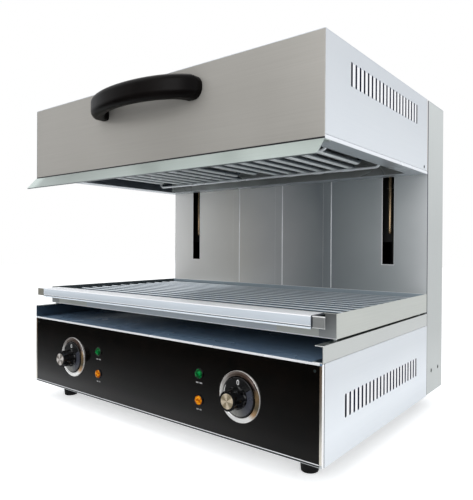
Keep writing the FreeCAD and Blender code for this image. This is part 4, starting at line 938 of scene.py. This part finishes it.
def sealed(name, angle):
    """Merge what meets, turn the faces outward and finish the new piece."""
    bpy.ops.mesh.select_all(action="SELECT")
    bpy.ops.mesh.remove_doubles(threshold=0.00001)
    bpy.ops.mesh.normals_make_consistent(inside=False)
    done()
    return shaded(settled(name), angle)


def bent_wire(name, corners, radius, bend=0.0, fineness=2):
    """A round wire or tube along straight runs, with its corners rounded."""
    chain([mm(*corner) for corner in corners])
    if bend:
        bpy.ops.mesh.select_all(action="SELECT")
        bpy.ops.mesh.bevel(offset=bend / METRE, segments=6, affect="VERTICES")
    done()
    bpy.ops.object.convert(target="CURVE")
    line = bpy.context.object.data
    line.bevel_depth = radius / METRE
    line.bevel_resolution = fineness
    line.use_fill_caps = True
    bpy.ops.object.convert(target="MESH")
    bpy.ops.object.mode_set(mode="EDIT")
    return sealed(name, 50)


def turned(name, centre, outline, axis="y", sides=64):
    """A piece turned on a lathe: its outline is radii and depths along the axis from its centre."""
    centre = Vector(centre)
    depth_way = Vector((0, 1, 0)) if axis == "y" else Vector((0, 0, 1))
    points = [(centre + Vector((radius, 0, 0)) + depth_way * depth) / METRE for radius, depth in outline]
    chain(points)
    bpy.ops.mesh.select_all(action="SELECT")
    bpy.ops.mesh.spin(steps=sides, angle=FULL_TURN, center=centre / METRE, axis=depth_way)
    return sealed(name, 32)


def pressed(name, outline, first_x, last_x):
    """A bar of one cross-section, given as depths and heights, that runs from side to side."""
    chain([mm(first_x, depth, height) for depth, height in outline])
    bpy.ops.mesh.select_all(action="SELECT")
    bpy.ops.mesh.edge_face_add()
    bpy.ops.mesh.extrude_region_move(TRANSFORM_OT_translate={"value": mm(last_x - first_x, 0, 0)})
    return sealed(name, 32)


TUBE_LEVEL = 408
TUBE_TOP = 452
TUBE_EXIT = 48.5
TUBE_BENDS = (94.5, -144.5)
TUBE_LINES = [225 - 29 * run for run in range(8)]


def heater(side_name, side):
    """Serpentine heating tube, whose two ends rise into the hood."""
    first, last = side * TUBE_LINES[0], side * TUBE_LINES[-1]
    corners = [(first, TUBE_EXIT, TUBE_TOP), (first, TUBE_EXIT, TUBE_LEVEL)]
    for run, x in enumerate(TUBE_LINES):
        ends = TUBE_BENDS if run % 2 == 0 else TUBE_BENDS[::-1]
        if run > 0:
            corners.append((side * x, ends[0], TUBE_LEVEL))
        if run < len(TUBE_LINES) - 1:
            corners.append((side * x, ends[1], TUBE_LEVEL))
    corners += [(last, TUBE_EXIT, TUBE_LEVEL), (last, TUBE_EXIT, TUBE_TOP)]
    tube = bent_wire(f"heater_tube_{side_name}", corners, 4, 14.3, 3)
    placed(tube, "hood", "heater_sheath", sheath, f"heating_element_{side_name}")


for side_name, side in SIDES.items():
    heater(side_name, side)

HANGER_DEPTHS = (-109.5, 61.5)
HANGER_COURSE = ((-253, 436.8), (-253, 401.8), (253, 401.8), (253, 436.8))
hangers = merged("heater_hangers", [bent_wire("hanger", [(x, y, z) for x, z in HANGER_COURSE], 2.2, 8)
                                    for y in HANGER_DEPTHS])
placed(hangers, "hood", "zinc_steel", hanger_wire, "element_hangers")


RACK_FRONT = -153.5
WIRE_END = 292.5
WIRE_TIP = 184.5
WIRE_TOP = 190.8
CARRIERS = (-288, -100, 100, 288)
CARRIER_LEVEL = 186.3
CARRIER_ENDS = (-155.5, 124.5)
CROSS_WIRES = (13, (0, 23, 0))
LEGS = [(x, y) for x in (CARRIERS[0], CARRIERS[-1]) for y in (-123.5, 92.5)]
LEG_ENDS = (168.9, 184)


def rack():
    """Cross wires with turned-down ends on four carrying wires with legs."""
    corners = [(x, RACK_FRONT, z) for x, z in ((-WIRE_END, WIRE_TIP), (-WIRE_END, WIRE_TOP),
                                               (WIRE_END, WIRE_TOP), (WIRE_END, WIRE_TIP))]
    pieces = [repeated(bent_wire("cross", corners, 2, 4), *CROSS_WIRES)]
    pieces += [bent_wire("carrier", [(x, y, CARRIER_LEVEL) for y in CARRIER_ENDS], 2.5) for x in CARRIERS]
    pieces += [bent_wire("leg", [(x, y, z) for z in LEG_ENDS], 2.5) for x, y in LEGS]
    placed(merged("rack", pieces), "tray", "rack_chrome", rack_wire, "wire_rack")


rack()


# Hood handle

OPENING = (87, 35)


def oval(name, wall, low, tall, half, reach, sides):
    """An upright oval bar round the middle of the hood's front, left in edit mode."""
    shape = round_bar(name, (0, wall, low), "z", half, tall, sides)
    pick(shape, "VERT", lambda middle, way: True)
    bpy.ops.transform.resize(value=(1, reach / half, 1), center_override=mm(0, wall, 0))
    return shape


def bow_handle():
    """Half an oval less a smaller one, with broad soft rounds on its outer edges and round ends."""
    low, high = cad_box("handle")
    wall, level = high.y, (low.z + high.z) / 2
    half, reach, tall = (high.x - low.x) / 2, high.y - low.y, high.z - low.z
    bow = oval("bow_handle", wall, low.z, tall, half, reach, 128)
    bpy.ops.mesh.bisect(plane_co=mm(0, wall, 0), plane_no=(0, 1, 0), clear_outer=True, use_fill=True)
    done()
    opening = oval("opening", wall, low.z - 5, tall + 10, *OPENING, 96)
    done()
    carve(bow, opening)

    def round_rim(size, test, width, segments):
        """Round the upper and lower edges of one oval, but not those against the hood."""
        def on_rim(middle, way):
            share = math.hypot(middle.x / size[0], (middle.y - wall) / size[1])
            return test(share) and abs(abs(middle.z - level) - tall / 2) < 0.1 and middle.y < wall - 0.1
        pick(bow, "EDGE", on_rim)
        bevel_picked(width, segments)

    round_rim((half, reach), lambda share: share > 0.96, 10, 8)
    round_rim(OPENING, lambda share: share < 1.02, 3, 4)
    ends = block("ends", (-half, low.y - 1, low.z), (half, wall + 1, high.z))
    pick(ends, "EDGE", lambda middle, way: abs(way.y) > 0.9)
    bevel_picked(tall / 2 - 0.5, 16)
    add_modifier(bow, "BOOLEAN", operation="INTERSECT", solver="EXACT", object=ends)
    bpy.data.objects.remove(ends)
    rounded(bow, 1.6, 3, 42)
    placed(shaded(bow, 40), "hood", "handle_plastic", handle_black, "handle")


bow_handle()


# Dials and lamps

PANEL = -196.5
DIAL_INSET = 181
DIAL_LEVEL = 87
LAMP_INSET = 111
LAMP_LEVELS = {"green": 105, "amber": 69.5}
FLUTES = 8
FLUTE_REACH = 16.6
FLUTE_RADIUS = 5.2
# Light and dark tones of each cap, between which its painted highlight wedges run.
CAP_HIGHLIGHT_TONES = {"left": ((252, 246, 240), (132, 124, 116)), "right": ((246, 230, 204), (160, 146, 118))}
BEZEL_OUTLINE = [(32.5, 0), (32.5, -1.2), (32.3, -1.7), (31.9, -1.9), (31.6, -1.8), (31.4, -2),
                 (30.8, -2.7), (29.6, -3.4), (28.2, -3.7), (27, -3.5), (26.3, -2.9), (26, -2.2), (26, 0),
                 (32.5, 0)]
LENS_OUTLINE = [(0, -4.4), (2.2, -4.3), (4, -3.8), (5.2, -2.9), (5.9, -1.9), (6.3, -1.2), (6.3, 0), (0, 0)]
RIM_OUTLINE = [(6.3, 0), (6.3, -1.4), (6.6, -1.8), (7.1, -1.7), (7.4, -1.2), (7.5, -0.6), (7.5, 0),
               (6.3, 0)]
DASHES = ((92.6, ((-6, -1.2), (0.6, 5.4))), (57.1, ((-4.6, -0.8), (0.8, 4.4))))


def bezel(side_name, side):
    centre = (side * DIAL_INSET, PANEL, DIAL_LEVEL)
    ring = turned(f"bezel_ring_{side_name}", centre, BEZEL_OUTLINE, sides=96)
    placed(ring, "base", "bright_chrome", ring_chrome(f"Ring chrome {side_name}", centre), "bezels")


def dial(side_name, side):
    """Dial skirt, fluted grip, spun cap and the zero mark of one thermostat."""
    x = side * DIAL_INSET
    centre = (x, PANEL, DIAL_LEVEL)
    body = f"dial_{side_name}"

    def coaxial(name, ahead, radius, length, sides, end_radius=None):
        return round_bar(f"{name}_{side_name}", (x, PANEL - ahead, DIAL_LEVEL), "y", radius, length, sides,
                         end_radius)

    skirt = rounded(coaxial("dial_skirt", 4, 24.8, 3, 96), 0.8, 3)
    placed(skirt, body, "knob_plastic", dial_skirt(f"Dial skirt {side_name}", centre))
    grip = coaxial("dial_grip", 24.5, 12.4, 20.8, 96, 14.6)
    for flute in range(FLUTES):
        turn = FULL_TURN * (flute + 0.5) / FLUTES
        spot = (x + FLUTE_REACH * math.cos(turn), PANEL - 25, DIAL_LEVEL + FLUTE_REACH * math.sin(turn))
        carve(grip, rounded(round_bar("flute", spot, "y", FLUTE_RADIUS, 20, 32), 2, 4))
    placed(rounded(grip, 1.0, 4, 25), body, "knob_plastic", knob_black, f"knob_{side_name}")
    cap = rounded(coaxial("dial_cap", 25.4, 9.4, 1.5, 64), 0.3, 3)
    spun = spun_cap(f"Spun cap {side_name}", centre, *CAP_HIGHLIGHT_TONES[side_name])
    placed(cap, body, "cap_metal", spun, f"knob_cap_{side_name}")
    deselect()
    bpy.ops.object.text_add(location=mm(x, PANEL - 4.05, DIAL_LEVEL + 15.6), rotation=(math.pi / 2, 0, 0))
    word = bpy.context.object
    word.data.body = "0"
    word.data.size = 9 / METRE
    word.data.align_x = "CENTER"
    word.data.extrude = 0.05 / METRE
    bpy.ops.object.convert(target="MESH")
    placed(settled(f"zero_mark_{side_name}"), body, "knob_plastic", print_white)


def lamp_rounds(name, levels, outline):
    """Turned rings or lenses on the panel, left and right."""
    return merged(name, [turned(name, (side * LAMP_INSET, PANEL, level), outline, sides=48)
                         for side in (-1, 1) for level in levels])


def lamp_marks():
    """Plain printed dashes under each lamp."""
    dashes = []
    for side in (-1, 1):
        for level, ends in DASHES:
            for first, last in ends:
                dashes.append(block("dash", (side * LAMP_INSET + first, PANEL - 0.08, level - 0.9),
                                    (side * LAMP_INSET + last, PANEL, level + 0.9)))
    placed(merged("lamp_marks", dashes), "base", "black_panel", print_grey)


for make in (bezel, dial):
    for side_name, side in SIDES.items():
        make(side_name, side)
for colour, material in (("green", green_lens), ("amber", amber_lens)):
    pair = lamp_rounds(f"{colour}_lenses", [LAMP_LEVELS[colour]], LENS_OUTLINE)
    placed(pair, "base", f"{colour}_lens", material, f"{colour}_lamp_lenses")
placed(lamp_rounds("lamp_rims", LAMP_LEVELS.values(), RIM_OUTLINE), "base", "dark_plastic", knob_black)
lamp_marks()


# Feet, glides and the trim of the panel

FOOT_INSET = 257
FOOT_DEPTHS = (-152.5, 184.5)
GLIDE_INSET = 294
GLIDE_DEPTHS = (-158.5, 123.5)


def foot(x, y):
    """Tapered rubber foot with a rounded tread and a shallow screw recess."""
    shape = round_bar("foot", (x, y, 0), "z", 11, 28, 48, 13.5)
    pick(shape, "FACE", lambda middle, way: way.z < -0.9)
    bpy.ops.mesh.inset(thickness=6 / METRE)
    bpy.ops.mesh.extrude_region_move(TRANSFORM_OT_translate={"value": mm(0, 0, 5)})
    done()
    return rounded(shape, 1.4, 4, 40)


feet = [foot(side * FOOT_INSET, y) for y in FOOT_DEPTHS for side in (-1, 1)]
placed(merged("rubber_feet", feet), "base", "foot_rubber", foot_rubber, "feet")
glides = [rounded(round_bar("glide", (side * GLIDE_INSET, y, 165), "z", 2.5, 2.5, 32), 0.5, 3)
          for side in (-1, 1) for y in GLIDE_DEPTHS]
placed(merged("glide_studs", glides), "base", "zinc_steel", zinc, "tray_glides")


TRIM_HALF = 295.6
TOP_EDGE = (142.5, 145.2)
LOWER_EDGE = (30.8, 31.8)
SEAM_ENDS = (28.9, 30.7)
STRIP_ENDS = (31.8, 142.3)


def panel_trim():
    """Folds over and under the control panel in near white as painted highlights, a dark strip of painted
    shade in the seam below, and its upright end strips.
    """
    def bar(name, ends, ahead, behind):
        """A bar across the panel, from its two heights and its reach before and behind the panel."""
        return block(name, (-TRIM_HALF, PANEL - ahead, ends[0]), (TRIM_HALF, PANEL + behind, ends[1]))

    trims = [rounded(bar("top_edge", TOP_EDGE, 0.7, 1.5), 0.6, 3),
             rounded(bar("lower_edge", LOWER_EDGE, 0.6, 2), 0.3, 3)]
    placed(merged("panel_trim", trims), "base", "stainless_brushed", edge_steel)
    placed(rounded(bar("panel_seam", SEAM_ENDS, 0.3, 1), 0.2), "base", "black_panel", seam_black)
    low, high = ((PANEL + depth, end) for depth, end in zip((-0.5, 0.6), STRIP_ENDS))
    strips = [rounded(side_block("strip", side, 295.7, 298.7, low, high), 0.4, 3) for side in (-1, 1)]
    placed(merged("panel_strips", strips), "base", "bright_chrome", strip_chrome)


panel_trim()


# Front of the tray

GRIP_ENDS = (-277, 283)
TAB_EDGE = 299.8
GRIP_OUTLINE = [(-165.6, 197.2), (-166.2, 197.8), (-193.6, 197.8), (-194.9, 197.2), (-195.5, 196),
                (-195.5, 186.4), (-195.3, 185.6), (-194.7, 185.2), (-193.7, 184.9), (-193.6, 184.5),
                (-194.4, 184.3), (-195.1, 183.9), (-195.5, 183.1), (-195.3, 182.4), (-194.7, 181.9),
                (-194, 181.8), (-193.5, 182.2), (-193.5, 183.7), (-165.6, 183.7)]


def tray_front():
    """Folded strip under the grip, the plain tabs at its open ends, and full-height corners behind."""
    low, high = cad_box("tray_front_strip")
    left, right = GRIP_ENDS[0] - 1, GRIP_ENDS[1] + 1
    web = rounded(block("web", (left, low.y + 0.8, low.z), (right, low.y + 2, high.z)), 0.3)
    shelf = rounded(block("shelf", (left, low.y + 1, low.z), (right, high.y, low.z + SHEET)), 0.3)
    placed(merged("tray_strip", [web, shelf]), "tray", "stainless_brushed", apron_steel, "tray_front_strip")
    tabs = []
    for first, last in ((-TAB_EDGE, GRIP_ENDS[0] - 0.5), (GRIP_ENDS[1] + 0.5, TAB_EDGE)):
        front = rounded(block("front", (first, low.y, low.z - 0.4), (last, low.y + 1.4, 197.3)), 0.35, 3)
        inner = last - SHEET if last < 0 else first
        cheek = block("cheek", (inner, low.y + 1.4, low.z - 0.4), (inner + SHEET, high.y, 196))
        tabs += [front, rounded(cheek, 0.3)]
    placed(merged("strip_tabs", tabs), "tray", "stainless_brushed", tab_steel)
    plates = [side_block("plate", side, 276, 299.7, (-165.6, 168.6), (-164.4, 197.6)) for side in (-1, 1)]
    placed(rounded(merged("tray_corners", plates), 0.4), "tray", "stainless_brushed", corner_steel)


tray_front()
grip = pressed("grip_profile", GRIP_OUTLINE, *GRIP_ENDS)
placed(grip, "tray", "grip_aluminium", grip_metal, "tray_grip")


# Thermostat bulbs and screws

BULB_PLACE = (231, 157.5)
BULB_OUTLINE = [(0, 298.2), (1.4, 298.4), (2.4, 299.2), (2.9, 300.4), (3, 302), (3, 404), (2.4, 406.4),
                (1.2, 407.6), (0, 407.8)]
for side_name, side in SIDES.items():
    centre = (side * BULB_PLACE[0], BULB_PLACE[1], 0)
    bulb = turned(f"bulb_{side_name}", centre, BULB_OUTLINE, "z", 32)
    placed(bulb, "hood", "copper_bulb", copper, f"thermostat_bulb_{side_name}")


def screw(spot, axis, outward, radius, height):
    """Screw head with a cross recess that stands on a spot and points outward along X, Y or Z."""
    index = "xyz".index(axis)
    start = list(spot)
    start[index] = min(spot[index], spot[index] + outward * height)
    head = rounded(round_bar("screw", start, axis, radius, height, 32), min(radius, height) * 0.45, 3)
    first, second = (other for other in range(3) if other != index)
    for long_way, short_way in ((first, second), (second, first)):
        low, high = list(spot), list(spot)
        ends = (spot[index] + outward * height * 0.5, spot[index] + outward * height * 1.3)
        low[index], high[index] = min(ends), max(ends)
        for way, half in ((long_way, radius * 0.62), (short_way, radius * 0.16)):
            low[way] -= half
            high[way] += half
        carve(head, block("recess", low, high))
    return shaded(head)


REAR_LEVELS = (60, 195, 335, 480)
for name, body, holes, radius in (("column_screws", "base", COLUMN_HOLES, 3.1),
                                  ("cheek_screws", "hood", CHEEK_HOLES, 2.6)):
    heads = [screw((side * 298.6, y, z), "x", side, radius, 1.2) for side in (-1, 1) for y, z in holes]
    placed(merged(name, heads), body, "zinc_steel", screw_shade_dark)
heads = [screw((side * 289.5, PANEL, 136), "y", -1, 1.7, 0.8) for side in (-1, 1)]
placed(merged("panel_screws", heads), "base", "zinc_steel", screw_shade_dark)
heads = [screw((side * 292, 228.5, z), "y", 1, 3, 1.5) for side in (-1, 1) for z in REAR_LEVELS]
placed(merged("rear_screws", heads), "base", "zinc_steel", zinc)
